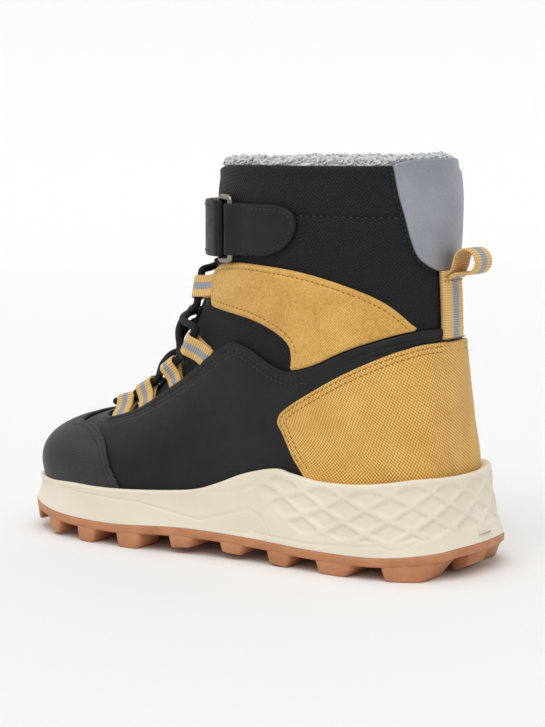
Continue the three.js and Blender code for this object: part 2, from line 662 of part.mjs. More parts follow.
function lacePath() {
  const { medial, lateral } = frames;
  const top = LACE_LOOPS.length - 1;
  const strand = (first, second) => {
    const points = [];
    for (let level = 0; level <= top; level += 1) {
      const here = (level % 2 ? second : first)[level];
      points.push(...throughLoop(here));
      if (level < top) {
        const next = (level % 2 ? first : second)[level + 1];
        points.push(...crossing(here, next, first === medial ? LACE_LOW : LACE_HIGH));
      } else {
        points.push(...toKnot(here));
      }
    }
    return points;
  };
  const one = strand(medial, lateral);
  const two = strand(lateral, medial);
  const toeward = sideView(throughLoop(medial[0])[0]).add(new THREE.Vector2(LACE_LEAD, 0));
  const bar = formPoint(ridgeRow(toeward, new THREE.Vector2(1, 0), LACE_LOW), Math.PI, LACE_LOW + 1);
  return new THREE.CatmullRomCurve3([...one.reverse(), bar, ...two], false, 'centripetal');
}

function lace() {
  const sides = 8;
  const corners = Array.from({ length: sides }, (_, i) => {
    const angle = (2 * Math.PI * i) / sides;
    return new THREE.Vector2(LACE_RADIUS * Math.cos(angle), LACE_RADIUS * Math.sin(angle));
  });
  const geometry = new THREE.ExtrudeGeometry(new THREE.Shape(corners), {
    steps: 120,
    extrudePath: lacePath(),
    bevelEnabled: false,
  });
  return solidOf(geometry).add(knot());
}

const KEEPER_HALF = 3.6;
function tongueKeeper() {
  const loop = frames.medial[2];
  const row = ridgeRow(sideView(loop.lace), sideView(loop.along).normalize(), TONGUE[1]);
  const middle = formPoint(row, Math.PI, TONGUE[1]);
  const [back, front] = [middle.y - KEEPER_HALF / 2, middle.y + KEEPER_HALF / 2];
  const near = block(-KEEPER_HALF, KEEPER_HALF, back, front, 45 * SZ, 120 * SZ);
  return shell([TONGUE[1] + GAP, TONGUE[1] + GAP + 1]).intersect(near);
}

// ---- strap, ring and tab ----
const strapZ = [STRAP_HEIGHT * SZ - STRAP_WIDTH / 2, STRAP_HEIGHT * SZ + STRAP_WIDTH / 2];
const SLEEVE_BORE = RING_WIRE + GAP;
const SLEEVE_RADIUS = SLEEVE_BORE + 1.2;
const BAR_OFFSET = OVERLAY[0] + SLEEVE_RADIUS;
const SLEEVE_LENGTH = STRAP_WIDTH - 2.4;
const rearBar = surfaceAt(96.5 * SY, STRAP_HEIGHT * SZ, BAR_OFFSET, -1).point;
const frontBar = surfaceAt(104.3 * SY, STRAP_HEIGHT * SZ, BAR_OFFSET, -1).point;

// A fold of webbing round an upright bar.
function sleeve(bar) {
  const shape = new THREE.Shape().absarc(0, 0, SLEEVE_RADIUS, 0, Math.PI * 2, false);
  shape.holes.push(new THREE.Path().absarc(0, 0, SLEEVE_BORE, 0, Math.PI * 2, true));
  const geometry = new THREE.ExtrudeGeometry(shape, {
    depth: SLEEVE_LENGTH,
    bevelEnabled: false,
    curveSegments: 8,
  });
  geometry.translate(bar.x, bar.y, bar.z - SLEEVE_LENGTH / 2);
  return solidOf(geometry);
}

function bore(bar) {
  const geometry = new THREE.CylinderGeometry(SLEEVE_BORE, SLEEVE_BORE, STRAP_WIDTH * 2, 16);
  geometry.rotateX(Math.PI / 2);
  geometry.translate(bar.x, bar.y, bar.z);
  return solidOf(geometry);
}

function strapRing() {
  const across = frontBar.clone().sub(rearBar);
  const halfAcross = across.length() / 2;
  across.normalize();
  const middle = rearBar.clone().add(frontBar).multiplyScalar(0.5);
  const halfUp = STRAP_WIDTH / 2 + RING_WIRE;
  const corner = (cx, cy, from) => Array.from({ length: 4 }, (_, k) => {
    const angle = from + (k * Math.PI) / 6;
    return [cx + RING_CORNER * Math.cos(angle), cy + RING_CORNER * Math.sin(angle), angle];
  });
  const x = halfAcross - RING_CORNER;
  const y = halfUp - RING_CORNER;
  const path = [
    ...corner(x, y, 0), ...corner(-x, y, Math.PI / 2),
    ...corner(-x, -y, Math.PI), ...corner(x, -y, Math.PI * 1.5),
  ];
  const normal = across.clone().cross(new THREE.Vector3(0, 0, 1));
  const sides = 8;
  const positions = path.flatMap(([u, v, angle]) => Array.from({ length: sides }, (_, k) => {
    const turn = (2 * Math.PI * k) / sides;
    const grow = RING_WIRE * Math.cos(turn);
    return middle.clone()
      .addScaledVector(across, u + grow * Math.cos(angle))
      .add(new THREE.Vector3(0, 0, v + grow * Math.sin(angle)))
      .addScaledVector(normal, RING_WIRE * Math.sin(turn))
      .toArray();
  })).flat();
  const triangles = [];
  for (let i = 0; i < path.length; i += 1) {
    for (let k = 0; k < sides; k += 1) {
      const a = i * sides + k;
      const b = i * sides + ((k + 1) % sides);
      const c = ((i + 1) % path.length) * sides + ((k + 1) % sides);
      const d = ((i + 1) % path.length) * sides + k;
      triangles.push(a, d, c, a, c, b);
    }
  }
  return solidFrom(positions, triangles);
}

function ringTab() {
  const { y } = rearBar;
  const shape = new THREE.Shape();
  const half = STRAP_WIDTH / 2 - 0.8;
  const z = STRAP_HEIGHT * SZ;
  const end = y - 32 * SY;
  shape.moveTo(y, z - half);
  shape.lineTo(y, z + half);
  shape.lineTo(y - 19 * SY, z + half);
  shape.bezierCurveTo(y - 27 * SY, z + half, end, z + 8, end, z + 2.5);
  shape.bezierCurveTo(end, z - 4, y - 24 * SY, z - half, y - 15 * SY, z - half);
  const patch = shell([OVERLAY[0], OVERLAY[0] + 2]).intersect(prism(shape.getPoints(6), -FAR, 0));
  return patch.add(sleeve(rearBar)).subtract(bore(rearBar));
}

const AHEAD = 160; // in front of the whole shaft

// A block at the strap's height, trimmed at its top and bottom.
const strapBlock = (xMin, xMax, yMin, yMax, trim = 0) =>
  block(xMin, xMax, yMin, yMax, strapZ[0] + trim, strapZ[1] - trim);

// A band of the strap: over the front, and back along the outer side as far as yOuter.
function strapBand(layer, yInner, yOuter) {
  const overlap = 0.01; // the two blocks meet just past the middle
  const region = strapBlock(-FAR, 0, yInner, AHEAD).add(strapBlock(-overlap, FAR, yOuter, AHEAD));
  return shell(layer).intersect(region);
}

const strapBase = () => strapBand(STRAP_INNER, frontBar.y + SLEEVE_RADIUS + 1, 62 * SY);
const strapAnchor = () => shell([OVERLAY[0], STRAP_INNER[0] - GAP])
  .intersect(strapBlock(0, FAR, 60 * SY, 74 * SY, -1.5));
const loopTape = () => shell(LOOP_TAPE).intersect(strapBlock(0, FAR, 76 * SY, AHEAD, 1.5));
const hookTape = () => shell(HOOK_TAPE).intersect(strapBlock(2, FAR, 80 * SY, AHEAD, 2));
const strapEnd = () =>
  strapBand(STRAP_OUTER, frontBar.y, 78 * SY).add(sleeve(frontBar)).subtract(bore(frontBar));

// ---- materials ----
const material = (color, roughness, metalness = 0) =>
  new THREE.MeshStandardMaterial({ color, roughness, metalness });
const CANVAS_YELLOW = material('#d39a3c', 0.85);
const WEBBING_TAN = material('#dfb268', 0.8);
const BLACK_SYNTHETIC = material('#2b2b2c', 0.55);
const BLACK_TEXTILE = material('#232324', 0.9);
const TEXTURED_CAP = material('#38383a', 0.6);
const GREY_REFLECTIVE = material('#8e929a', 0.45);
const FLEECE = material('#cfcfcf', 1);
const FOAM_CREAM = material('#e9dfcb', 0.6);
const GUM_RUBBER = material('#c08152', 0.6);
const BOARD = material('#b9ad97', 0.9);
const NICKEL = material('#8b847d', 0.35, 1);
const CORD_BLACK = material('#151515', 0.75);
const HOOK_BLACK = material('#1d1d1f', 0.95);

// ---- assembly ----
const group = new THREE.Group();
function addPart(name, solid, look) {
  const mesh = new THREE.Mesh(geometryOf(solid), look);
  mesh.name = name;
  group.add(mesh);
}

addPart('outsole', outsole(), GUM_RUBBER);
addPart('midsole', midsole(), FOAM_CREAM);
addPart('shank', shank(), BOARD);
addPart('insole_board', insoleBoard(), BOARD);
addPart('footbed', footbed(), FLEECE);
addPart('lining', lining(), FLEECE);
addPart('heel_stiffener', heelStiffener(), BOARD);
addPart('toe_puff', toePuff(), BOARD);
addPart('shaft_medial', inner(textile().intersect(shaftRegion)), BLACK_TEXTILE);
addPart('shaft_lateral', outer(textile().intersect(shaftRegion)), BLACK_TEXTILE);
addPart('vamp', textile().intersect(vampRegion), BLACK_TEXTILE);
addPart('tongue', tongue(), BLACK_TEXTILE);
addPart('tongue_keeper', tongueKeeper(), BLACK_SYNTHETIC);
addPart('quarter_medial', inner(shell(OVERLAY).intersect(quarterRegion(0))), BLACK_SYNTHETIC);
addPart('quarter_lateral', outer(shell(OVERLAY).intersect(quarterRegion(0))), BLACK_SYNTHETIC);
addPart('ankle_overlay_medial', inner(ankleOverlay()), CANVAS_YELLOW);
addPart('ankle_overlay_lateral', outer(ankleOverlay()), CANVAS_YELLOW);
addPart('toe_cap', shell(COVER).intersect(toeRegion), TEXTURED_CAP);
addPart('heel_counter_cover', shell(COVER).intersect(counterRegion), CANVAS_YELLOW);
addPart('collar_patch', shell(OVERLAY).intersect(patchRegion), GREY_REFLECTIVE);
addPart('heel_webbing', heelWebbing(), WEBBING_TAN);
addPart('pull_loop', pullLoop(), WEBBING_TAN);
LACE_LOOPS.forEach((_, index) => {
  addPart(`lace_loop_medial_${index + 1}`, laceLoop(frames.medial[index]), WEBBING_TAN);
  addPart(`lace_loop_lateral_${index + 1}`, laceLoop(frames.lateral[index]), WEBBING_TAN);
});
addPart('lace', lace(), CORD_BLACK);
addPart('ring_tab', ringTab(), BLACK_SYNTHETIC);
addPart('strap_ring', strapRing(), NICKEL);
addPart('strap_anchor', strapAnchor(), BLACK_SYNTHETIC);
addPart('strap_base', strapBase(), BLACK_SYNTHETIC);
addPart('loop_tape', loopTape(), HOOK_BLACK);
addPart('hook_tape', hookTape(), HOOK_BLACK);
addPart('strap_end', strapEnd(), BLACK_SYNTHETIC);

// The origin is the middle of the footprint of the whole boot, on the ground.
const bounds = new THREE.Box3().setFromObject(group);
const middle = bounds.getCenter(new THREE.Vector3());
group.position.set(-middle.x, -middle.y, -bounds.min.z);

export default group;
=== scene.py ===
"""Looks of a child's winter hiking boot, laid over its packed CAD frame.

Shapes are worked out in millimetres, with the heel end of the sole near y = 0, and moved into the
frame when a mesh is made.
"""

import bmesh
import bpy
import numpy as np
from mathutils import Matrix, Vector


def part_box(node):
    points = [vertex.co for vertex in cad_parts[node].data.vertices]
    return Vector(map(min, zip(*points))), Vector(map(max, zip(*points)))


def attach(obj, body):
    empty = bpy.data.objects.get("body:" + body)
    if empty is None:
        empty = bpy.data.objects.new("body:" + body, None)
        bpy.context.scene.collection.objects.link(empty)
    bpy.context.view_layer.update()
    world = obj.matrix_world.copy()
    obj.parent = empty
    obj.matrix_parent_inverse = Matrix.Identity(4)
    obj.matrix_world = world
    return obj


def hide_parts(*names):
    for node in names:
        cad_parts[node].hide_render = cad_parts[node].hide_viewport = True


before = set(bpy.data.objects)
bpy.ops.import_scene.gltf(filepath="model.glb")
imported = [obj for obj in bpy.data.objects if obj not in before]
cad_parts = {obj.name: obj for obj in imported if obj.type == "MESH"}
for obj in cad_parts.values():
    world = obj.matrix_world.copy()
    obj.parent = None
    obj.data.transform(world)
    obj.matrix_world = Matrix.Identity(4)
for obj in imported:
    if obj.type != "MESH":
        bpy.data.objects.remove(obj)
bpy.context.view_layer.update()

bl_info = {
    "name": "Winter boot looks",
    "version": (1, 0, 0),
    "blender": (4, 5, 0),
    "location": "View3D > Sidebar > Boot",
    "description": "Builds the visible pieces of a child's winter hiking boot over its CAD frame",
    "category": "Object",
}

# ---- sizes in millimetres ----
MM = 0.001
GAP = 0.3
FABRIC = 1.2
LINING = 4.7
LINING_RISE = 2.4
FOOTBED = 4.5
PLATE = 3.2
LACE_RADIUS = 1.5
LOOP_WIDTH = 9.0
LOOP_REACH = 8.0
LOOP_TILT = 0.3
LACE_LEAD = 2.4
LACE_RISE = FABRIC / 2 + 1
STRAP_WIDTH = 22.0
STRAP_HEIGHT = 129.3
RING_WIRE = 1.2
RING_CORNER = 2.0
WEBBING_WIDTH = 13.0
STRIP_FOOT = 88.5
STRIP_TOP = 114.5
PULL_LOOP_REACH = 12.0
PULL_LOOP_ROOT = 113.0
PULL_LOOP_TILT = 0.66
KNOT_HEIGHT = 113.4
KNOT_DEPTH = 2.4
KNOT_INSET = 1.8
SHOULDER_SHARE = 0.62
SOLE_BACK = 1.4

PLAIN_FACE = 950.0  # a whole number of webbing ribs

# Layers, as offsets from the last: inner face, outer face.
BASE = (0.0, 1.2)
OVERLAY = (1.5, 2.7)
COVER = (3.0, 4.2)
TONGUE = (1.5, 2.6)
STRAP_INNER = (2.9, 3.9)
LOOP_TAPE = (4.2, 4.7)
HOOK_TAPE = (5.0, 5.5)
STRAP_OUTER = (5.8, 7.0)
CAVITY = -GAP - LINING

webbing_low, webbing_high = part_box("heel_webbing")
sole_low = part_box("outsole")[0]
SHIFT = np.array([
    (webbing_low.x + webbing_high.x) / 2 / MM,
    sole_low.y / MM - SOLE_BACK,
    sole_low.z / MM,
])

# The last: back y and z, front y and z, half width, sideways shift, roundness of back and front.
SECTIONS = np.array([
    [22.5, 176, 114.5, 176, 33, 0, 2.0, 2.2],
    [22.5, 153.5, 116, 153, 34, 0, 2.0, 2.2],
    [21.5, 142, 117.5, 141, 34.5, 0, 2.0, 2.2],
    [21.5, 122, 117, 119.5, 34.5, 0, 2.0, 2.2],
    [20.5, 101, 122, 104.5, 34, 0, 2.1, 2.2],
    [20, 80, 129, 92, 33, 0, 2.4, 2.2],
    [18, 55, 135, 81, 32.5, 0, 2.8, 2.2],
    [17, 36, 140, 72.5, 32, 0, 3.3, 2.2],
    [27, 24, 146.5, 65, 32, 0.5, 4.0, 2.2],
    [60, 20, 154, 58, 32, 1, 4.5, 2.2],
    [100, 18, 162, 52, 33.5, 1.5, 4.5, 2.2],
    [135, 15.5, 171.5, 48.5, 36.5, 1.5, 4.5, 2.3],
    [162, 15, 182, 45.5, 36, 0, 4.5, 2.4],
    [181, 15.5, 191, 42, 29.5, -3, 4, 2.4],
    [193, 17.5, 197.5, 37, 19, -5, 3.4, 2.4],
    [199, 20, 200.5, 31, 9.5, -6, 3, 2.4],
    [201, 25, 201, 25.5, 1, -6, 3, 2.4],
])
LAST_ROW = len(SECTIONS) - 1

# Sole plan: y, inner half width, outer half width.
SOLE = np.array([
    [1.4, 0, 0], [2.2, 10.5, 10.5], [5, 20, 20], [10, 28, 28], [20, 35, 35], [35, 38.6, 38.6],
    [55, 38.8, 38.8], [80, 37.4, 38.2], [105, 38.2, 40.5], [130, 41.4, 44], [148, 42.7, 44.6],
    [165, 42, 43], [180, 39.5, 36.5], [193, 34, 26], [201, 28, 17.5], [207, 20.8, 8.8],
    [210.6, 13.5, 1], [212, 7, -5.5],
])


# ---- curves ----
def spline(table, t):
    """A uniform Catmull-Rom curve through a table's rows, read at row numbers t."""
    table = np.asarray(table, float)
    last = len(table) - 1
    t = np.clip(np.asarray(t, float), 0, last - 1e-9)
    i = np.floor(t).astype(int)
    w = (t - i)[..., None]
    before, here = table[np.maximum(i - 1, 0)], table[i]
    after, beyond = table[np.minimum(i + 1, last)], table[np.minimum(i + 2, last)]
    leave, arrive = (after - before) / 2, (beyond - here) / 2
    cubic = 2 * here - 2 * after + leave + arrive
    square = -3 * here + 3 * after - 2 * leave - arrive
    return cubic * w**3 + square * w**2 + leave * w + here


def curve(points, steps=8):
    """Points along a smooth line through the given ones."""
    return spline(points, np.linspace(0, len(points) - 1, (len(points) - 1) * steps + 1))


def arc_length(points):
    """The distance along a line at each of its points."""
    return np.concatenate([[0], np.cumsum(np.linalg.norm(np.diff(points, axis=0), axis=1))])


def even(points, count):
    """The same line with evenly spaced points."""
    length = arc_length(points)
    places = np.linspace(0, length[-1], count)
    return np.stack([np.interp(places, length, points[:, k]) for k in range(points.shape[1])], 1)


def cord_curve(points, count):
    """A centripetal Catmull-Rom curve: each knot gap is the square root of the chord."""
    p = np.concatenate([[2 * points[0] - points[1]], points, [2 * points[-1] - points[-2]]])
    knots = np.concatenate([[0], np.cumsum(np.sqrt(np.linalg.norm(np.diff(p, axis=0), axis=1)))])
    pieces = []
    for i in range(1, len(p) - 2):
        t0, t1, t2, t3 = knots[i - 1 : i + 3]
        t = np.linspace(t1, t2, 24, endpoint=False)[:, None]
        a1 = (t1 - t) / (t1 - t0) * p[i - 1] + (t - t0) / (t1 - t0) * p[i]
        a2 = (t2 - t) / (t2 - t1) * p[i] + (t - t1) / (t2 - t1) * p[i + 1]
        a3 = (t3 - t) / (t3 - t2) * p[i + 1] + (t - t2) / (t3 - t2) * p[i + 2]
        b1 = (t2 - t) / (t2 - t0) * a1 + (t - t0) / (t2 - t0) * a2
        b2 = (t3 - t) / (t3 - t1) * a2 + (t - t1) / (t3 - t1) * a3
        pieces.append((t2 - t) / (t2 - t1) * b1 + (t - t1) / (t2 - t1) * b2)
    return even(np.concatenate(pieces + [points[-1:]]), count)


def unit(vectors):
    """The same directions at length one."""
    return vectors / np.maximum(np.linalg.norm(vectors, axis=-1, keepdims=True), 1e-12)


def smooth(value, low, high):
    """A soft step from 0 at low to 1 at high."""
    t = np.clip((value - low) / (high - low), 0, 1)
    return t * t * (3 - 2 * t)


def dent(distance, width):
    """A bell one high and about as wide as given."""
    return np.exp(-((distance / width) ** 2))


def lumps(points, size, seed):
    """Soft noise from 0 to 1: random heights on a cubic lattice of one size, smoothly blended."""
    heights = np.random.default_rng(seed).random((32, 32, 32))
    place = points / size
    cell = np.floor(place).astype(int)
    w = place - cell
    w = w * w * (3 - 2 * w)
    total = np.zeros(len(points))
    for corner in np.ndindex(2, 2, 2):
        i, j, k = ((cell + corner) % 32).T
        share = np.prod(np.where(corner, w, 1 - w), axis=1)
        total += share * heights[i, j, k]
    return total


# ---- the last ----
def section(s, offset=0.0):
    """One fanned section at row s, grown by an offset along the normals of its end lines."""
    s = np.asarray(s, float)
    offset = offset + np.zeros_like(s)
    row = spline(SECTIONS, s)
    step = 1.6e-3
    slope = spline(SECTIONS, s + step) - spline(SECTIONS, s - step)

    def grown(first, sign):
        way = unit(slope[..., first : first + 2])
        normal = sign * np.stack([way[..., 1], -way[..., 0]], -1)
        return row[..., first : first + 2] + offset[..., None] * normal

    half = row[..., 4] + offset * np.minimum(1, LAST_ROW - s)
    return grown(0, 1), grown(2, -1), half, row[..., 5], row[..., 6], row[..., 7]


def form(s, angle, offset=0.0):
    """A point of the last: a superellipse about its section's middle.

    Angle 0 is the back or bottom, pi the front or top, and 0 to pi the inner side.
    """
    s, angle = np.broadcast_arrays(np.asarray(s, float), np.asarray(angle, float))
    back, front, half, shift, back_round, front_round = section(s, offset)
    cosine, sine = np.cos(angle), np.sin(angle)
    power = np.where(cosine > 0, back_round, front_round)
    along = -np.sign(cosine) * np.abs(cosine) ** (2 / power)
    across = -np.sign(sine) * half * np.abs(sine) ** (2 / power)
    middle = (back + front) / 2 + along[..., None] * (front - back) / 2
    return np.concatenate([(shift + across)[..., None], middle], -1)


def locate(y, z, offset=0.0):
    """The row and angle of the inner side's point seen at (y, z) from the side, by halving."""
    y, z = np.broadcast_arrays(np.asarray(y, float), np.asarray(z, float))
    low, high = np.zeros(y.shape), np.full(y.shape, float(LAST_ROW))
    for _ in range(40):
        middle = (low + high) / 2
        back, front = section(middle, offset)[:2]
        chord = front - back
        miss = chord[..., 0] * (z - back[..., 1]) - chord[..., 1] * (y - back[..., 0])
        low, high = np.where(miss < 0, middle, low), np.where(miss < 0, high, middle)
    back, front, _, _, back_round, front_round = section(low, offset)
    chord = front - back
    seen = np.stack([y, z], -1) - back
    along = 2 * (seen * chord).sum(-1) / (chord**2).sum(-1) - 1
    power = np.where(along < 0, back_round, front_round)
    return low, np.arccos(-np.sign(along) * np.minimum(1, np.abs(along)) ** (power / 2))


def outward(s, angle, offset=0.0):
    """Points of the last with their outward normals."""
    step = 0.01
    point = form(s, angle, offset)
    along = form(s, angle + step, offset) - form(s, angle - step, offset)
    across = form(s + step, angle, offset) - form(s - step, angle, offset)
    return point, unit(np.cross(along, across))


def skin(y, z, offset, side):
    """The surface point, normal, row and angle seen at (y, z) on the inner (-1) or outer (1) side."""
    s, angle = locate(y, z, offset)
    point, normal = outward(s, -side * angle, offset)
    return point, normal, s, -side * angle


# ---- side-view lines ----
RIM = curve([
    [-10, 156.4], [14, 156.4], [22, 156.2], [31, 154.2], [60, 154], [95, 154], [107, 153],
    [113.5, 150.5], [119, 146.5], [130, 143],
])
CUP = curve([
    [-10, 30], [30, 29], [60, 28.5], [75, 29.5], [90, 27], [105, 22], [125, 19], [150, 18],
    [175, 18.5], [195, 20], [230, 21],
])
QUARTER_TOP = curve([
    [-10, 93], [18.8, 92.9], [26, 91.7], [35.1, 88.7], [46.2, 84.4], [58.6, 78.5], [69.5, 75.9],
    [78.2, 78.4], [86.9, 83.2], [96.9, 85.2], [109.6, 78.6], [123.6, 69.7], [140, 60.3],
    [155.3, 52], [169, 48.3], [178, 52], [188, 62],
])
MIDSOLE_TOP = curve([
    [-10, 37.5], [12, 38.3], [28, 36.7], [41, 35.6], [55, 35.5], [67, 37.1], [75, 38.2],
    [89, 34.9], [101, 30.1], [111, 26.8], [124, 25.2], [146, 23.8], [160, 23.5], [172, 23.8],
    [190, 23.4], [230, 23],
])
MIDSOLE_BOTTOM = curve([
    [-10, 13], [2, 12.3], [10, 10.6], [30, 8.7], [60, 8.7], [94, 10], [121, 10.6], [149, 9.3],
    [175, 9.8], [195, 11.4], [212, 13.4], [230, 15],
])
GROUND = curve([
    [-10, 10], [3, 4.6], [14, 0], [20, 0], [45, 0], [66, 0], [84, 1.6], [105, 3], [122, 2.2],
    [134, 0], [146, 0], [166, 0], [186, 1.6], [203, 4.6], [213, 7.5], [230, 12],
])
TOE_SEAM = curve([
    [182.5, 62], [182, 50], [180.5, 46.8], [174, 46.6], [166.6, 45.5], [159.3, 41.8],
    [155.9, 37.1], [152.3, 29.4], [148.8, 24], [146, 17],
])
COUNTER_EDGE = curve([
    [-10, 88], [17, 87.8], [25.7, 85.7], [34.8, 81.7], [46, 76.1], [58.4, 69], [68.1, 63],
    [73, 59], [74, 55.5], [72, 52], [67.5, 43.3], [62.8, 36.7], [59, 30],
])
ANKLE = np.concatenate([
    curve([
        [15, 80], [23.7, 93.1], [32.7, 102.9], [46.5, 109.5], [64.5, 114.2], [87, 116.3],
        [103, 115.6], [110.5, 112.6], [112.6, 109], [112.4, 104], [110.3, 98.3],
    ]),
    curve([[110, 98], [98.7, 96.7], [87, 94.8], [77.5, 91.5], [70.5, 87], [68.4, 82], [69.3, 72]]),
])
PATCH = np.concatenate([
    curve([
        [-10, 112], [15, 112.4], [19.5, 113.8], [22.3, 116.6], [24.7, 120.6], [26.3, 126.6],
        [27.9, 135.6], [29.8, 144.8], [31.6, 154.4],
    ]),
    curve([[31.6, 154.6], [22, 156.8], [-10, 157.2]]),
])
VAMP_EDGE = np.array([[176, 80], [152, 50], [134, 10]], float)
SHAFT_SEAM = np.array([[24, 134.6], [62, 135.2], [76, 135.6]])


def outline(*parts):
    """A closed side-view outline from lines and loose points."""
    return np.concatenate([np.atleast_2d(np.asarray(part, float)) for part in parts])


def measure(shape, y, z, closed=True):
    """Distance from a side-view outline, positive inside it, and the nearest place along it."""
    start = shape if closed else shape[:-1]
    end = np.roll(shape, -1, axis=0) if closed else shape[1:]
    step = end - start
    length = np.maximum(np.linalg.norm(step, axis=1), 1e-9)
    reach = np.concatenate([[0], np.cumsum(length)])[:-1]
    flat_y, flat_z = y.ravel()[:, None], z.ravel()[:, None]
    dy, dz = flat_y - start[:, 0], flat_z - start[:, 1]
    along = np.clip((dy * step[:, 0] + dz * step[:, 1]) / length**2, 0, 1)
    gap = np.hypot(dy - along * step[:, 0], dz - along * step[:, 1])
    near = gap.argmin(1)
    rows = np.arange(len(near))
    distance = gap[rows, near]
    place = reach[near] + along[rows, near] * length[near]
    if closed:
        straddle = (start[:, 1] > flat_z) != (end[:, 1] > flat_z)
        rise = np.where(step[:, 1] == 0, 1e-12, step[:, 1])
        ahead = flat_y < start[:, 0] + (flat_z - start[:, 1]) / rise * step[:, 0]
        inside = (straddle & ahead).sum(1) % 2 == 1
        distance = np.where(inside, distance, -distance)
    return distance.reshape(y.shape), place.reshape(y.shape)


# ---- meshes ----
def build_mesh(name, points, faces, uv=None, body="boot", nodes=(), slot=None, look=None):
    """Makes one piece from millimetre points and faces, and rides it on its body."""
    made = bpy.data.meshes.new(name)
    made.from_pydata(((points + SHIFT) * MM).tolist(), [], faces.tolist())
    made.update()
    if uv is not None:
        layer = made.uv_layers.new(name="lay")
        corner = np.empty(len(made.loops), np.int32)
        made.loops.foreach_get("vertex_index", corner)
        layer.data.foreach_set("uv", uv[corner].astype(np.float32).ravel())
    made.polygons.foreach_set("use_smooth", np.ones(len(made.polygons), bool))
    made.validate()
    piece = bpy.data.objects.new(name, made)
    bpy.context.scene.collection.objects.link(piece)
    made.materials.append(finish(look))
    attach(piece, body)
    if nodes:
        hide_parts(*nodes)
    return piece


def join(parts):
    """Several point and face arrays as one, quads and triangles kept as triangles."""
    points, faces, uvs, total = [], [], [], 0
    for part_points, part_faces, part_uv in parts:
        points.append(part_points)
        faces.append(triangles(part_faces) + total)
        uvs.append(part_uv)
        total += len(part_points)
    return np.concatenate(points), np.concatenate(faces), np.concatenate(uvs)


def triangles(faces):
    """Quads split along one diagonal; triangles stay."""
    if faces.shape[1] == 3:
        return faces
    return np.concatenate([faces[:, [0, 1, 2]], faces[:, [0, 2, 3]]])


def grid_faces(rows, columns, wrap_rows=False, wrap_columns=False):
    """Quads over a grid of numbered points, joined round either way if asked."""
    i = np.arange(rows if wrap_rows else rows - 1)
    j = np.arange(columns if wrap_columns else columns - 1)
    i, j = np.meshgrid(i, j, indexing="ij")
    next_i, next_j = (i + 1) % rows, (j + 1) % columns
    quads = [i * columns + j, i * columns + next_j, next_i * columns + next_j, next_i * columns + j]
    return np.stack(quads, -1).reshape(-1, 4)


def tube(path, ring, closed=False, across=None):
    """A profile carried along a path; ring is in (side, up) and across fixes the side direction."""
    count = len(path)
    if closed:
        way = unit(np.roll(path, -1, axis=0) - np.roll(path, 1, axis=0))
    else:
        way = unit(np.gradient(path, axis=0))
    if across is None:
        across = carried_sides(way)
    up = unit(np.cross(across, way))
    points = path[:, None] + ring[:, 0, None] * across[:, None] + ring[:, 1, None] * up[:, None]
    sides = len(ring)
    faces = grid_faces(count, sides, wrap_rows=closed, wrap_columns=True)
    length = arc_length(path)
    uv = np.stack(np.broadcast_arrays(arc_length(ring)[None, :], length[:, None]), -1).reshape(-1, 2)
    points = points.reshape(-1, 3)
    if not closed:
        caps = np.stack([path[0], path[-1]])
        turn = np.arange(sides)
        first = np.stack([np.full(sides, len(points)), (turn + 1) % sides, turn], 1)
        end = (count - 1) * sides
        last = np.stack([np.full(sides, len(points) + 1), end + turn, end + (turn + 1) % sides], 1)
        points = np.concatenate([points, caps])
        uv = np.concatenate([uv, [[0, 0], [0, length[-1]]]])
        faces = np.concatenate([triangles(faces), first, last])
    return points, faces, uv


def carried_sides(way):
    """Side directions carried along a path with no twist between neighbours."""
    side = unit(np.cross(way[0], [0.3, 0.2, 1.0]))
    sides = [side]
    for step in way[1:]:
        side = unit(side - step * (side @ step))
        sides.append(side)
    return np.array(sides)


def round_ring(radius, sides=14):
    """A circle in (side, up)."""
    turn = np.linspace(0, 2 * np.pi, sides, endpoint=False)
    return radius * np.stack([np.cos(turn), np.sin(turn)], 1)


def flat_ring(width, thickness):
    """A band's cross section: flat on both faces, round on both edges."""
    edge_points, face_points = 4, 9
    half, radius = width / 2 - thickness / 2, thickness / 2
    turn = np.linspace(-np.pi / 2, np.pi / 2, edge_points)
    right = np.stack([half + radius * np.cos(turn), radius * np.sin(turn)], 1)
    top = np.stack([np.linspace(half, -half, face_points)[1:-1], np.full(face_points - 2, radius)], 1)
    ring = np.concatenate([right, top])
    return np.concatenate([ring, -ring])


def ribbon(path, across, width, thickness, plain=0):
    """A band of webbing along a path, with its width along the given directions.

    Its map is millimetres across, from the middle, and millimetres along. On the plain face, above
    the path for 1 and under it for -1, the map runs on PLAIN_FACE millimetres further along.
    """
    ring = flat_ring(width, thickness)
    points, faces, uv = tube(path, ring, across=unit(across))
    uv[:, 0] = np.concatenate([np.tile(ring[:, 0], len(path)), [0, 0]])
    face = np.concatenate([np.tile(ring[:, 1], len(path)), [0, 0]])
    uv[:, 1] += PLAIN_FACE * (face * plain > thickness / 4)
    return points, faces, uv


# ---- cut panels on the last ----
# Half turns round the last, from the back, at which a panel's grid starts and ends.
SIDES = {"inner": (0, 1), "outer": (-1, 0), "back": (-1, 1), "front": (0, 2)}

# Columns of a panel's data after its rows and angles: map across and up, distance in from the edge,
# place along the edge, and the first of its further distances.
ACROSS, HEIGHT, EDGE, PLACE, FIELD = range(2, 7)


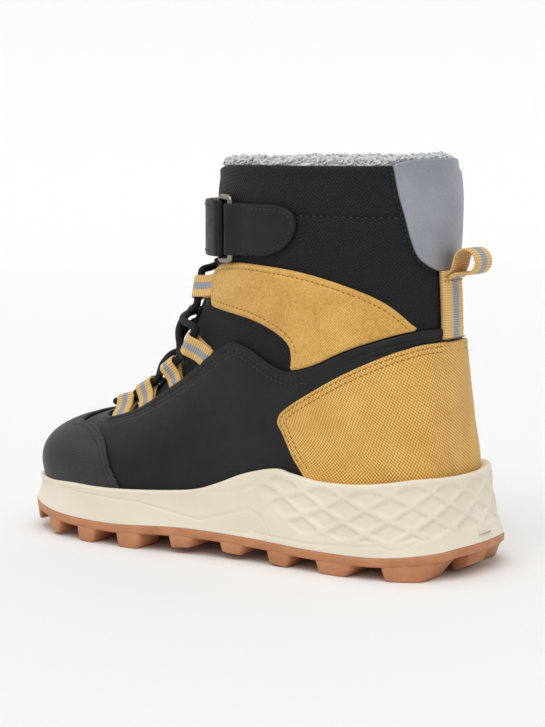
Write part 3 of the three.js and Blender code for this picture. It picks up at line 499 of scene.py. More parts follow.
def form_grid(rows, side, pitch, offset=0.0):
    """A grid of rows and angles over the last, spaced about one pitch apart.

    Its map is the arc from the grid's middle and the height along the side, in millimetres.
    """
    dense = np.linspace(*rows, 161)
    probe = np.linspace(0.1, np.pi - 0.1, 9)
    steps = np.linalg.norm(np.diff(form(dense[:, None], probe, offset), axis=0), axis=-1)
    reach = np.concatenate([[0], np.cumsum(steps.max(1) * 0.5 + steps.mean(1) * 0.5)])
    s = np.interp(np.linspace(0, reach[-1], max(3, int(reach[-1] / pitch))), reach, dense)
    first, last = SIDES[side]
    cycle = np.linspace(first, last, 240 * (last - first) + 1)
    whole = np.minimum(np.floor(cycle), last - 1)
    part = cycle - whole
    angle = np.pi * (whole + part**3 / (part**3 + (1 - part) ** 3))
    strips = form(s[:, None], angle, offset)
    arcs = np.linalg.norm(np.diff(strips, axis=1), axis=-1)
    arcs = np.concatenate([np.zeros((len(s), 1)), np.cumsum(arcs, axis=1)], 1)
    columns = max(3, int(arcs[:, -1].max() / pitch))
    share = np.linspace(0, 1, columns)
    angles = np.array([np.interp(share * arc[-1], arc, angle) for arc in arcs])
    u = (share - 0.5) * arcs[:, -1:]
    v = np.interp(s, dense, reach)[:, None] + np.zeros_like(u)
    return np.broadcast_to(s[:, None], angles.shape).copy(), angles, u, v


def true_distance(field, points):
    """A side-view distance turned into one along the surface, by its slope on the grid."""
    du, dv = np.gradient(points, axis=1), np.gradient(points, axis=0)
    fu, fv = np.gradient(field, axis=1), np.gradient(field, axis=0)
    uu, vv, uv = (du * du).sum(-1), (dv * dv).sum(-1), (du * dv).sum(-1)
    area = np.maximum(uu * vv - uv * uv, 1e-9)
    slope = np.sqrt(np.maximum((fu * fu * vv - 2 * fu * fv * uv + fv * fv * uu) / area, 0))
    return field / np.clip(slope, 0.4, 2.5)


def cut(data, faces, column, level, keep=False):
    """Splits triangles where a column of data crosses a level; keep drops what lies below it."""
    field = data[:, column] - level
    near = np.abs(field) < 0.04
    data[near, column] = level
    field[near] = 0
    sign = np.sign(field)
    following = np.roll(faces, -1, axis=1)
    crossed = sign[faces] * sign[following] < 0
    low, high = np.minimum(faces, following), np.maximum(faces, following)
    keys = low.astype(np.int64) * len(data) + high
    wanted, spot = np.unique(keys[crossed], return_inverse=True)
    a, b = wanted // len(data), wanted % len(data)
    share = (field[a] / (field[a] - field[b]))[:, None]
    fresh = data[a] * (1 - share) + data[b] * share
    fresh[:, column] = level
    middle = np.full(faces.shape, -1)
    middle[crossed] = spot + len(data)
    data = np.concatenate([data, fresh])
    number = crossed.sum(1)
    pieces = [faces[number == 0]]
    for turn in range(3):
        f, m, c = (np.roll(x, -turn, axis=1) for x in (faces, middle, crossed))
        once = (number == 1) & c[:, 0]
        pieces.append(np.stack([f[once, 0], m[once, 0], f[once, 2]], 1))
        pieces.append(np.stack([m[once, 0], f[once, 1], f[once, 2]], 1))
        twice = (number == 2) & ~c[:, 1]
        pieces.append(np.stack([f[twice, 0], m[twice, 0], m[twice, 2]], 1))
        pieces.append(np.stack([m[twice, 0], f[twice, 1], f[twice, 2]], 1))
        pieces.append(np.stack([m[twice, 0], f[twice, 2], m[twice, 2]], 1))
    faces = np.concatenate(pieces)
    if keep:
        top = (data[:, column] - level)[faces].max(1)
        faces = faces[top > 1e-9]
    return data, faces


def panel_mesh(region, layer, side, rows, pitch=1.4, roll=None, relief=None, fields=(), both=False):
    """A cut panel: the last's surface inside a region, with a rolled edge and its own relief.

    The panel's outer offset rises from the inner one as a quarter circle of radius roll. fields
    adds further distances, with the levels at which the surface gets points of its own. both
    rounds the inner face as well as the outer one.
    """
    thickness = layer[1] - layer[0]
    roll = roll or thickness * 0.8
    s, angle, u, v = form_grid(rows, side, pitch, layer[0])
    points = form(s, angle, layer[0])
    x, y, z = np.moveaxis(points, -1, 0)
    distance, place = region(x, y, z)
    columns = [s, angle, u, v, true_distance(distance, points), place]
    for further, _ in fields:
        columns.append(true_distance(further(x, y, z), points))
    data = np.stack([c.ravel() for c in columns], 1)
    faces = triangles(grid_faces(*s.shape))
    data, faces = cut(data, faces, EDGE, 0.0, keep=True)
    for level in (0.12, 0.4, 1.0):
        data, faces = cut(data, faces, EDGE, level * roll)
    for number, (_, levels) in enumerate(fields):
        for level in levels:
            data, faces = cut(data, faces, FIELD + number, level)
    used, faces = np.unique(faces, return_inverse=True)
    data, faces = data[used], faces.reshape(-1, 3)
    d = np.maximum(data[:, EDGE], 0)
    profile = np.sqrt(np.maximum(1 - (1 - np.minimum(d / roll, 1)) ** 2, 0))
    outer = layer[0] + thickness * profile
    inner = np.full(len(data), layer[0])
    if both:
        outer = layer[0] + thickness * (0.5 + 0.5 * profile)
        inner = layer[0] + thickness * (0.5 - 0.5 * profile)
    if relief:
        base = form(data[:, 0], data[:, 1], outer)
        outer = outer + relief(data, base) * profile
    top = form(data[:, 0], data[:, 1], outer)
    low = form(data[:, 0], data[:, 1], inner)
    edge = data[:, EDGE] <= 0
    below = np.where(edge, np.arange(len(data)), len(data) + np.arange(len(data)))
    lifted = form(data[:, 0], data[:, 1], outer + 1)
    normal = np.cross(top[faces[:, 1]] - top[faces[:, 0]], top[faces[:, 2]] - top[faces[:, 0]])
    if (normal * (lifted - top)[faces[:, 0]]).sum() < 0:
        faces = faces[:, ::-1]
    return {
        "points": np.concatenate([top, low]),
        "faces": np.concatenate([faces, below[faces][:, ::-1]]),
        "uv": np.concatenate([data[:, 2:4], data[:, 2:4]]),
        "data": data,
        "outer": outer,
    }


def tidy(piece):
    """Merges doubles and drops what no face uses."""
    sheet = bmesh.new()
    sheet.from_mesh(piece.data)
    bmesh.ops.remove_doubles(sheet, verts=sheet.verts, dist=2e-6)
    bmesh.ops.dissolve_degenerate(sheet, edges=sheet.edges, dist=1e-7)
    loose = [vertex for vertex in sheet.verts if not vertex.link_faces]
    bmesh.ops.delete(sheet, geom=loose, context="VERTS")
    sheet.to_mesh(piece.data)
    sheet.free()
    return piece


def panel(name, made, **where):
    """One panel as a piece."""
    return tidy(build_mesh(name, made["points"], made["faces"], made["uv"], **where))


# ---- stitches ----
def stitch_mesh(start, end, normal, radius):
    """Short threads from start to end, each bowed up along its normal and tucked in at its ends."""
    stations = np.array([0.0, 0.1, 0.5, 0.9, 1.0])
    size = np.array([0.15, 0.8, 1.0, 0.8, 0.15])
    lift = np.array([-0.7, 0.15, 0.5, 0.15, -0.7])
    way = unit(end - start)
    side = unit(np.cross(way, normal))
    sides = 6
    turn = np.linspace(0, 2 * np.pi, sides, endpoint=False)
    spine = start[:, None] + stations[:, None] * (end - start)[:, None]
    spine = spine + (lift * radius)[:, None] * normal[:, None]
    ring = np.cos(turn)[:, None] * side[:, None, None] + np.sin(turn)[:, None] * normal[:, None, None]
    points = spine[:, :, None] + (size * radius)[:, None, None] * ring
    one = grid_faces(len(stations), sides, wrap_columns=True)
    first_cap = np.array([[0, 5, 4, 3], [0, 3, 2, 1]])
    last_cap = np.array([[0, 1, 2, 3], [0, 3, 4, 5]]) + sides * (len(stations) - 1)
    one = np.concatenate([one, first_cap, last_cap])
    each = sides * len(stations)
    faces = (one[None] + each * np.arange(len(start))[:, None, None]).reshape(-1, 4)
    return points.reshape(-1, 3), faces


def row_points(made, column, level, wanted, order=PLACE):
    """Surface points of a panel where a distance equals a level, in the order of a column."""
    data, outer = made["data"], made["outer"]
    on = np.abs(data[:, column] - level) < 1e-6
    place = form(data[:, 0], data[:, 1], outer)
    on &= wanted(place[:, 0], place[:, 1], place[:, 2])
    lines = []
    for sign in (-1, 1):
        chosen = np.flatnonzero(on & (np.sign(place[:, 0]) == sign))
        if len(chosen) > 3:
            chosen = chosen[np.argsort(data[chosen, order], kind="stable")]
            lines.append((data[chosen, 0], data[chosen, 1], outer[chosen]))
    return lines


def stitch_lines(lines, length=1.5, pause=0.7, radius=0.24, sink=0.0):
    """Threads evenly spaced along lines of rows, angles and offsets."""
    starts, ends, normals = [], [], []
    for s, angle, outer in lines:
        track = form(s, angle, outer)
        reach = arc_length(track)
        fresh = np.concatenate([[True], np.diff(reach) > 1e-4])
        reach, s, angle, outer = reach[fresh], s[fresh], angle[fresh], outer[fresh]
        count = int(reach[-1] / (length + pause))
        if count < 2:
            continue
        first = (np.arange(count) + 0.5) * reach[-1] / count - length / 2

        def at(place):
            row, turn, lift = (np.interp(place, reach, values) for values in (s, angle, outer))
            return outward(row, turn, lift - sink)

        start, _ = at(first)
        end, _ = at(first + length)
        _, normal = at(first + length / 2)
        keep = np.linalg.norm(end - start, axis=1) < length * 1.3
        starts.append(start[keep])
        ends.append(end[keep])
        normals.append(normal[keep])
    return stitch_mesh(np.concatenate(starts), np.concatenate(ends), np.concatenate(normals), radius)


def stitches(name, lines, look, slot, **sizes):
    """One piece that holds all the threads of one seam."""
    points, faces = stitch_lines(lines, **sizes)
    return build_mesh(name, points, faces, slot=slot, look=look)


# ---- materials ----
def linear(colour):
    """An sRGB hex colour as linear numbers, opaque."""
    parts = [int(colour[i : i + 2], 16) / 255 for i in (1, 3, 5)]
    turned = [p / 12.92 if p <= 0.04045 else ((p + 0.055) / 1.055) ** 2.4 for p in parts]
    return (*turned, 1.0)


def node(tree, kind, inputs=None, **choices):
    """Adds a node, makes its choices, then sets or links its sockets."""
    made = tree.nodes.new(kind)
    for key, value in choices.items():
        setattr(made, key, value)
    for socket, value in (inputs or {}).items():
        if isinstance(value, bpy.types.NodeSocket):
            tree.links.new(value, made.inputs[socket])
        else:
            made.inputs[socket].default_value = value
    return made


def start_material(name, **shader_values):
    """A material with one shader on its output."""
    made = bpy.data.materials.new(name)
    made.use_nodes = True
    tree = made.node_tree
    tree.nodes.clear()
    shader = node(tree, "ShaderNodeBsdfPrincipled")
    for key, value in shader_values.items():
        shader.inputs[key.replace("_", " ")].default_value = value
    node(tree, "ShaderNodeOutputMaterial", {"Surface": shader.outputs[0]})
    return made, tree, shader


def mathed(tree, operation, first, second=0.0, third=0.0):
    """One step of arithmetic."""
    return node(tree, "ShaderNodeMath", {0: first, 1: second, 2: third}, operation=operation).outputs[0]


def blend_colours(tree, factor, low, high):
    """A colour between two, by a factor."""
    mixed = node(tree, "ShaderNodeMix", data_type="RGBA")
    sockets = (mixed.inputs[0], factor), (mixed.inputs[6], low), (mixed.inputs[7], high)
    for socket, value in sockets:
        if isinstance(value, bpy.types.NodeSocket):
            tree.links.new(value, socket)
        else:
            socket.default_value = value
    return mixed.outputs[2]


def paint(tree, shader, factor, low, high):
    """The shader's base colour between two hex colours, by a factor."""
    mixed = blend_colours(tree, factor, linear(low), linear(high))
    tree.links.new(mixed, shader.inputs["Base Color"])


def noise(tree, size, detail=3.0, roughness=0.55):
    """Noise whose grains are about one size in millimetres."""
    place = node(tree, "ShaderNodeTexCoord").outputs["Object"]
    inputs = {"Vector": place, "Scale": 1 / (size * MM), "Detail": detail, "Roughness": roughness}
    return node(tree, "ShaderNodeTexNoise", inputs).outputs["Fac"]


def spread(tree, value, low, high, to_low=0.0, to_high=1.0):
    """A value stretched from one range to another and held there."""
    inputs = {0: value, 1: low, 2: high, 3: to_low, 4: to_high}
    return node(tree, "ShaderNodeMapRange", inputs).outputs[0]


def bump(tree, shader, height, depth, strength=1.0, under=None):
    """Relief of a depth in millimetres, laid over another one if given."""
    inputs = {"Height": height, "Distance": depth * MM, "Strength": strength}
    if under:
        inputs["Normal"] = under
    made = node(tree, "ShaderNodeBump", inputs)
    tree.links.new(made.outputs[0], shader.inputs["Normal"])
    return made.outputs[0]


def lay_map(tree, pitch_u, pitch_v, turn=0.0):
    """The piece's own map in threads, turned on the cloth, as u and v."""
    uv = node(tree, "ShaderNodeTexCoord").outputs["UV"]
    turned = node(tree, "ShaderNodeMapping", {"Vector": uv, "Rotation": (0, 0, turn)}).outputs[0]
    scale = (1 / pitch_u, 1 / pitch_v, 1)
    scaled = node(tree, "ShaderNodeVectorMath", {0: turned, 1: scale}, operation="MULTIPLY").outputs[0]
    parts = node(tree, "ShaderNodeSeparateXYZ", {0: scaled})
    return scaled, parts.outputs[0], parts.outputs[1]


def ridge(tree, value):
    """A row of round ridges, one for each whole step of the value."""
    wave = mathed(tree, "SINE", mathed(tree, "MULTIPLY", value, np.pi))
    return mathed(tree, "ABSOLUTE", wave)


def weave(tree, pitch_u, pitch_v, turn=0.0):
    """Plain weave: on alternate squares of a chequer the warp or the weft lies on top."""
    scaled, u, v = lay_map(tree, pitch_u, pitch_v, turn)
    over = node(tree, "ShaderNodeTexChecker", {"Vector": scaled, "Scale": 1.0}).outputs["Fac"]
    round_u, round_v = ridge(tree, u), ridge(tree, v)
    warp = mathed(tree, "MULTIPLY", round_u, mathed(tree, "MULTIPLY_ADD", round_v, 0.45, 0.55))
    weft = mathed(tree, "MULTIPLY", round_v, mathed(tree, "MULTIPLY_ADD", round_u, 0.45, 0.55))
    mixed = node(tree, "ShaderNodeMix", {0: over, 2: warp, 3: weft})
    return mixed.outputs[0]


def woven(name, low, high, pitch, depth, turn=0.0, patch=6.0, roughness=0.85, sheen=0.2, gloss=0.5):
    """A woven cloth: dark between its threads, lighter on top, with slow changes of shade."""
    made, tree, shader = start_material(
        name, Roughness=roughness, Sheen_Weight=sheen, Sheen_Roughness=0.5, Specular_IOR_Level=gloss
    )
    height = weave(tree, pitch, pitch, turn)
    shade = spread(tree, noise(tree, patch), 0.3, 0.7, 0.75, 1.15)
    fibre = noise(tree, pitch * 0.6, 2.0)
    # Painted shade between the threads and painted highlight on their tops: the weave's height lightens the
    # colour.
    level = mathed(tree, "MULTIPLY", spread(tree, height, 0.15, 0.9), shade)
    level = mathed(tree, "MULTIPLY", level, spread(tree, fibre, 0.2, 0.8, 0.75, 1.2))
    paint(tree, shader, level, low, high)
    fine = bump(tree, shader, fibre, 0.05)
    bump(tree, shader, height, depth, 1.0, fine)
    return made


def ballistic_polyester():
    """Coarse woven polyester: thick matt threads that catch small lights."""
    return woven("ballistic_polyester", "#070708", "#201f21", 1.05, 0.22, 0.6, 9.0, 0.62, 0.03, 0.25)


def duck_canvas():
    """Waxed duck canvas: fine threads under wax, mottled light and dark."""
    made, tree, shader = start_material("waxed_duck_canvas", Roughness=0.78, Sheen_Weight=0.15)
    height = weave(tree, 0.78, 0.78, 0.6)
    mottle = noise(tree, 1.1, 4.0, 0.7)
    broad = noise(tree, 16.0, 2.0)
    slow = spread(tree, broad, 0.3, 0.7, 0, 0.25)
    level = mathed(tree, "ADD", spread(tree, mottle, 0.3, 0.7, 0.1, 0.6), slow)
    # Painted shade between the threads and painted highlight on their tops: the weave's height scales the
    # colour.
    level = mathed(tree, "MULTIPLY", level, spread(tree, height, 0.1, 0.85, 0.55, 1.25))
    paint(tree, shader, level, "#bb832e", "#fdcf73")
    fine = bump(tree, shader, mottle, 0.08)
    bump(tree, shader, height, 0.14, 1.0, fine)
    return made


def coarse_canvas():
    """Coarse canvas: plain weave thick enough for each thread to show."""
    return woven("coarse_canvas", "#b67f2a", "#ffd072", 0.95, 0.18, 0.5, 12.0, 0.82, 0.15)


def synthetic_leather():
    """Coated synthetic leather: a nearly smooth skin with a shallow pressed grain."""
    grain, rough = 0.9, 0.5
    made, tree, shader = start_material("polyurethane_leather", Specular_IOR_Level=0.3)
    cells = node(tree, "ShaderNodeTexVoronoi", {
        "Vector": node(tree, "ShaderNodeTexCoord").outputs["Object"],
        "Scale": 1 / (grain * MM),
    }, feature="SMOOTH_F1").outputs["Distance"]
    broad = noise(tree, 18.0, 3.0)
    paint(tree, shader, spread(tree, broad, 0.3, 0.7), "#151516", "#1d1d1f")
    gloss = spread(tree, noise(tree, 4.0), 0.3, 0.7, rough - 0.06, rough + 0.08)
    tree.links.new(gloss, shader.inputs["Roughness"])
    fine = bump(tree, shader, cells, 0.06, 0.7)
    bump(tree, shader, noise(tree, 7.0, 2.0), 0.25, 0.5, fine)
    return made


def embossed_cap():
    """Toe cap skin: synthetic leather embossed with fine close lines."""
    made, tree, shader = start_material("embossed_toe_skin", Roughness=0.5, Specular_IOR_Level=0.4)
    _, u, v = lay_map(tree, 1.3, 0.75)
    lines = mathed(tree, "MULTIPLY", ridge(tree, v), spread(tree, ridge(tree, u), 0, 1, 0.7, 1))
    speckle = noise(tree, 0.7, 2.0)
    # Painted light: the embossed lines lighten their ridges and darken their grooves in the colour.
    level = mathed(tree, "MULTIPLY", lines, spread(tree, speckle, 0.2, 0.8, 0.6, 1.2))
    paint(tree, shader, level, "#1b1b1c", "#38383b")
    fine = bump(tree, shader, speckle, 0.05)
    bump(tree, shader, lines, 0.07, 1.0, fine)
    return made


def reflective_film():
    """Retroreflective film: glass beads in grey resin, satin and faintly speckled."""
    made, tree, shader = start_material("glass_bead_film", Roughness=0.42, Metallic=0.25)
    bead_speckle_and_sparkle = noise(tree, 0.6, 2.0)
    broad = noise(tree, 22.0, 2.0)
    slow = spread(tree, broad, 0.3, 0.7, 0, 0.6)
    # The bead speckle in the colour is partly the beads' own tone and partly painted sparkle.
    level = mathed(tree, "MULTIPLY_ADD", spread(tree, bead_speckle_and_sparkle, 0.3, 0.7), 0.4, slow)
    paint(tree, shader, level, "#868992", "#a2a5ad")
    fine = bump(tree, shader, bead_speckle_and_sparkle, 0.03)
    bump(tree, shader, noise(tree, 9.0, 2.0), 0.3, 0.4, fine)
    return made


def striped_webbing(stripe, name):
    """Nylon webbing: ribs across, golden edges and one grey reflective stripe along the middle."""
    made, tree, shader = start_material(name, Roughness=0.7, Sheen_Weight=0.2)
    _, u, v = lay_map(tree, 1.0, 1.0)
    ribs = ridge(tree, mathed(tree, "DIVIDE", v, 0.95))
    yarns = ridge(tree, mathed(tree, "DIVIDE", u, 0.5))
    height = mathed(tree, "MULTIPLY", ribs, mathed(tree, "MULTIPLY_ADD", yarns, 0.3, 0.7))
    inside = mathed(tree, "LESS_THAN", mathed(tree, "ABSOLUTE", u), stripe)
    outer_face = mathed(tree, "LESS_THAN", v, PLAIN_FACE / 2)
    inside = mathed(tree, "MULTIPLY", inside, outer_face)
    # Painted shade between the ribs and yarns and painted highlight on their tops, in both the gold and the
    # grey.
    shade = spread(tree, height, 0.1, 0.9, 0.35, 1.0)
    gold = blend_colours(tree, shade, linear("#a87a35"), linear("#efc479"))
    grey = blend_colours(tree, shade, linear("#73757d"), linear("#a0a3ab"))
    tree.links.new(blend_colours(tree, inside, gold, grey), shader.inputs["Base Color"])
    bump(tree, shader, height, 0.18, 0.8)
    return made


def sherpa_fleece():
    """Sherpa pile: matt curled polyester fibre, pale with grey in its hollows."""
    made, tree, shader = start_material(
        "sherpa_fleece", Roughness=0.95, Sheen_Weight=0.6, Sheen_Roughness=0.6
    )
    curls = noise(tree, 1.6, 4.0, 0.65)
    # Painted shade: the pile's hollows, where the curls noise is low, are painted grey.
    paint(tree, shader, spread(tree, curls, 0.32, 0.62), "#b4b5b7", "#e9e9ea")
    bump(tree, shader, curls, 0.7, 0.9)
    return made


def braided_cord():
    """Braided polyester cord: two sets of threads that cross round the cord."""
    made, tree, shader = start_material("braided_polyester_cord", Roughness=0.66, Specular_IOR_Level=0.3)
    _, u, v = lay_map(tree, 1.0, 1.0)
    up = mathed(tree, "ADD", mathed(tree, "DIVIDE", u, 1.18), mathed(tree, "DIVIDE", v, 1.5))
    down = mathed(tree, "SUBTRACT", mathed(tree, "DIVIDE", u, 1.18), mathed(tree, "DIVIDE", v, 1.5))
    height = mathed(tree, "MULTIPLY", ridge(tree, up), ridge(tree, down))
    # Painted light: the braid's height darkens its hollows and lightens the tops of the crossings.
    paint(tree, shader, height, "#060607", "#1d1d1f")
    bump(tree, shader, height, 0.25)
    return made


def nickel_plate():
    """Dark nickel plate on steel wire: satin, with faint handling marks."""
    made, tree, shader = start_material("dark_nickel_plate", Metallic=1.0, Roughness=0.32)
    marks = noise(tree, 3.0, 4.0)
    paint(tree, shader, marks, "#77706a", "#a59d95")
    tree.links.new(spread(tree, marks, 0.3, 0.7, 0.24, 0.42), shader.inputs["Roughness"])
    bump(tree, shader, marks, 0.02)
    return made


def moulded_foam():
    """Moulded EVA foam: a closed matt skin with a very fine pebble."""
    made, tree, shader = start_material("moulded_eva_foam", Roughness=0.62, Subsurface_Weight=0.08)
    shader.inputs["Subsurface Scale"].default_value = 0.002
    pebble = noise(tree, 0.9, 2.0)
    broad = noise(tree, 30.0, 3.0)
    paint(tree, shader, spread(tree, broad, 0.3, 0.7), "#e5dac5", "#eee4d2")
    bump(tree, shader, pebble, 0.035)
    return made


def gum_rubber():
    """Moulded gum rubber: warm, matt and slightly cloudy."""
    made, tree, shader = start_material("moulded_gum_rubber", Roughness=0.55)
    cloud = noise(tree, 9.0, 4.0)
    fine = noise(tree, 0.8, 2.0)
    paint(tree, shader, spread(tree, cloud, 0.3, 0.7), "#b37349", "#c78b61")
    tree.links.new(spread(tree, cloud, 0.3, 0.7, 0.48, 0.62), shader.inputs["Roughness"])
    bump(tree, shader, fine, 0.04)
    return made


def hook_and_loop():
    """Hook and loop tape: a dense matt pile of tiny nylon loops."""
    made, tree, shader = start_material("nylon_hook_and_loop", Roughness=0.9)
    pile = noise(tree, 0.7, 3.0, 0.7)
    paint(tree, shader, pile, "#0c0c0d", "#343436")
    bump(tree, shader, pile, 0.4)
    return made


def fibre_board():
    """Pressed fibre board: pale, matt and flecked."""
    made, tree, shader = start_material("pressed_fibre_board", Roughness=0.9)
    fleck = noise(tree, 1.2, 4.0, 0.7)
    paint(tree, shader, fleck, "#9f937d", "#cbc0aa")
    bump(tree, shader, fleck, 0.15)
    return made


def sewing_thread(name, low, high):
    """Bonded sewing thread: twisted plies with a slight shine."""
    made, tree, shader = start_material(name, Roughness=0.5)
    plies = noise(tree, 0.4, 1.0)
    paint(tree, shader, plies, low, high)
    bump(tree, shader, plies, 0.05)
    return made


def studio_paper():
    """Seamless paper: pale and even, with a barely visible tooth."""
    made, tree, shader = start_material("seamless_paper", Roughness=0.9)
    tooth = noise(tree, 3.0, 2.0)
    paint(tree, shader, tooth, "#f3f3f3", "#f5f5f5")
    return made


FINISHES = {}
MAKERS = {
    "polyester": ballistic_polyester,
    "canvas": duck_canvas,
    "coarse": coarse_canvas,
    "leather": synthetic_leather,
    "cap": embossed_cap,
    "film": reflective_film,
    "webbing": lambda: striped_webbing(2.2, "ribbed_nylon_webbing"),
    "loop_webbing": lambda: striped_webbing(1.45, "narrow_nylon_webbing"),
    "fleece": sherpa_fleece,
    "cord": braided_cord,
    "nickel": nickel_plate,
    "foam": moulded_foam,
    "gum": gum_rubber,
    "tape": hook_and_loop,
    "board": fibre_board,
    "black_thread": lambda: sewing_thread("black_bonded_thread", "#1c1c1e", "#3c3c3f"),
    "ochre_thread": lambda: sewing_thread("ochre_bonded_thread", "#6f4819", "#9a6a2b"),
    "paper": studio_paper,
}


def finish(key):
    """The named material, made once."""
    if key not in FINISHES:
        FINISHES[key] = MAKERS[key]()
    return FINISHES[key]


# ---- regions of the panels ----
QUARTER_AREA = outline(QUARTER_TOP, [[230, 62], [230, 21]], CUP[::-1])
COUNTER_AREA = outline(COUNTER_EDGE, [[55, 29.2], [30, 29.5], [-10, 30.5]])
TOE_AREA = outline(TOE_SEAM, [[146, 18.3]], CUP[CUP[:, 0] > 150], [[230, 62]])
SHAFT_AREA = outline(RIM, [[176, 143]], VAMP_EDGE, [[-10, 10]])


def from_outline(shape):
    """A region that is one outline seen from the side."""
    return lambda x, y, z: measure(shape, y, z)


def depth_in(shape):
    """How far inside an outline a point lies, seen from the side."""
    return lambda x, y, z: measure(shape, y, z)[0]


def half_region(shape):
    """An outline's region that stops at the boot's middle plane."""

    def region(x, y, z):
        distance, place = measure(shape, y, z)
        return np.minimum(distance, np.abs(x) - GAP / 2), place

    return region


def seam_distance(line):
    """Signed height above an open side-view line, level past its ends."""
    return lambda x, y, z: z - np.interp(y, line[:, 0], line[:, 1])


def furrows(distance, rows):
    """Where rows of stitches pull the surface in, one high at each row."""
    return sum(dent(distance - row, 0.4) for row in rows)


# ---- pieces ----
def make_shaft():
    """The two halves of the textile shaft, with the quilting seam behind the strap's tab."""
    def patch_gap(x, y, z):
        return -measure(PATCH, y, z)[0]

    border_gap = 2.5
    fields = (
        (seam_distance(SHAFT_SEAM), (-0.7, 0.0, 0.7)),
        (patch_gap, (border_gap - 0.6, border_gap, border_gap + 0.6)),
    )

    def relief(data, base):
        _, y, z = base.T
        seam = dent(data[:, FIELD], 0.55) * smooth(y, 26, 30) * (1 - smooth(y, 64, 67))
        border = dent(data[:, FIELD + 1] - border_gap, 0.5) * smooth(z, 105, 113)
        pillow = 0.35 * smooth(np.abs(data[:, FIELD]), 0, 6) * smooth(z, 116, 126)
        roll = 0.5 * smooth(z, 148, 152) * (1 - smooth(z, 152, 156))
        soft = (lumps(base, 16, 5) - 0.5) * 0.5
        return pillow + roll + soft - 0.55 * seam - 0.5 * border

    seams, borders = [], []
    for side, node_name in (("inner", "shaft_medial"), ("outer", "shaft_lateral")):
        made = panel_mesh(half_region(SHAFT_AREA), BASE, side, (0, 13), 1.3, 0.9, relief, fields)
        panel(f"textile_{node_name}", made, nodes=(node_name,), slot="black_textile", look="polyester")
        seams += row_points(made, FIELD, 0.0, lambda x, y, z: (y > 29.5) & (y < 65.5), order=ACROSS)
        borders += row_points(
            made, FIELD + 1, border_gap, lambda x, y, z: (z > 111) & (z < 152.5) & (y < 45)
        )
    stitches("shaft_seam_stitches", seams, "black_thread", "black_textile", length=1.9, pause=0.8)
    stitches("patch_border_stitches", borders, "black_thread", "black_textile")


def make_vamp():
    """The textile vamp under the overlays, from the throat to the toe."""
    area = outline(VAMP_EDGE + [0.3, 0], [[240, 10], [240, 80]])
    made = panel_mesh(from_outline(area), BASE, "front", (7.5, LAST_ROW), 2.0)
    panel("textile_vamp", made, nodes=("vamp",), slot="black_textile", look="polyester")


def make_tongue():
    """The padded tongue that fills the throat, with soft quilted channels across it."""
    area = outline([[100, 147], [130, 147], [163, 66], [155, 40], [140, 40], [100, 96]])
    half_width, clearance, channel_pitch = 11.5, 0.4, 14

    def region(x, y, z):
        distance, place = measure(area, y, z)
        distance = np.minimum(distance, half_width - np.abs(x))
        return np.minimum(distance, -measure(QUARTER_AREA, y, z)[0] - clearance), place

    def relief(data, base):
        channel = np.abs(np.sin(np.pi * data[:, HEIGHT] / channel_pitch))
        return 0.35 * np.sqrt(channel) + 0.3 * (lumps(base, 7, 8) - 0.5)

    made = panel_mesh(region, TONGUE, "front", (0.8, 12), 1.1, 1.4, relief)
    piece = panel("padded_tongue", made, nodes=("tongue",), slot="black_textile", look="polyester")


def make_keeper():
    """The small tab sewn on the tongue that the lace crosses over."""
    row = ridge_row(FRAMES["inner"][2]["lace"][1:], FRAMES["inner"][2]["along"][1:], TONGUE[1])
    middle = form(row, np.pi, TONGUE[1])
    half_width, half_height, thickness = 3.6, 1.8, 1.0

    def region(x, y, z):
        across = half_width - np.abs(x)
        return np.minimum(across, half_height - np.abs(y - middle[1])), y

    layer = (TONGUE[1] + GAP, TONGUE[1] + GAP + thickness)
    made = panel_mesh(region, layer, "front", (4, 11), 0.7)
    panel("tongue_tab", made, nodes=("tongue_keeper",), slot="black_synthetic", look="leather")


def make_quarters():
    """The synthetic quarters over the instep, double stitched under their folded top edge."""
    rows = (3.4, 5.2)

    def relief(data, base):
        d = data[:, EDGE]
        near_top = smooth(base[:, 2], 44, 50)
        fold = 0.3 * (1 - smooth(d, 2.0, 2.9)) * near_top
        return fold - 0.3 * furrows(d, rows) * near_top + 0.5 * (lumps(base, 26, 3) - 0.5)

    def wanted(x, y, z):
        return (y > 62) & (y < 150) & (z > 52)

    fields = ((depth_in(QUARTER_AREA), (2.0, 2.6, 3.1, 3.4, 3.8, 4.9, 5.2, 5.6)),)
    lines = []
    for side, node_name in (("inner", "quarter_medial"), ("outer", "quarter_lateral")):
        made = panel_mesh(
            half_region(QUARTER_AREA), OVERLAY, side, (2.5, LAST_ROW), 1.4, 0.9, relief, fields
        )
        panel(f"synthetic_{node_name}", made, nodes=(node_name,), slot="black_synthetic", look="leather")
        for level in rows:
            lines += row_points(made, FIELD, level, wanted)
    stitches("quarter_stitches", lines, "black_thread", "black_synthetic", length=1.5, pause=0.8,
             radius=0.22)


def make_ankle_overlays():
    """The canvas overlays round the ankle, stitched close to their edges."""
    lines = []
    row, clearance = 2.5, 0.25

    def region(x, y, z):
        distance, place = measure(ANKLE, y, z)
        distance = np.minimum(distance, np.abs(x) - GAP / 2)
        return np.minimum(distance, -measure(QUARTER_AREA, y, z)[0] - clearance), place

    fields = ((depth_in(ANKLE), (2.1, row, 2.9)),)

    def relief(data, base):
        return 0.25 * smooth(data[:, EDGE], 0.6, 1.4) - 0.4 * dent(data[:, FIELD] - row, 0.45)

    for side, node_name in (("inner", "ankle_overlay_medial"), ("outer", "ankle_overlay_lateral")):
        made = panel_mesh(region, OVERLAY, side, (1.5, 8.5), 1.3, 0.9, relief, fields)
        panel(f"canvas_{node_name}", made, nodes=(node_name,), slot="yellow_canvas", look="canvas")
        lines += row_points(made, FIELD, row, lambda x, y, z: (z > 82) & (np.abs(x) > 1))
    stitches("ankle_stitches", lines, "ochre_thread", "yellow_canvas", length=1.3, pause=0.8,
             radius=0.22, sink=0.05)


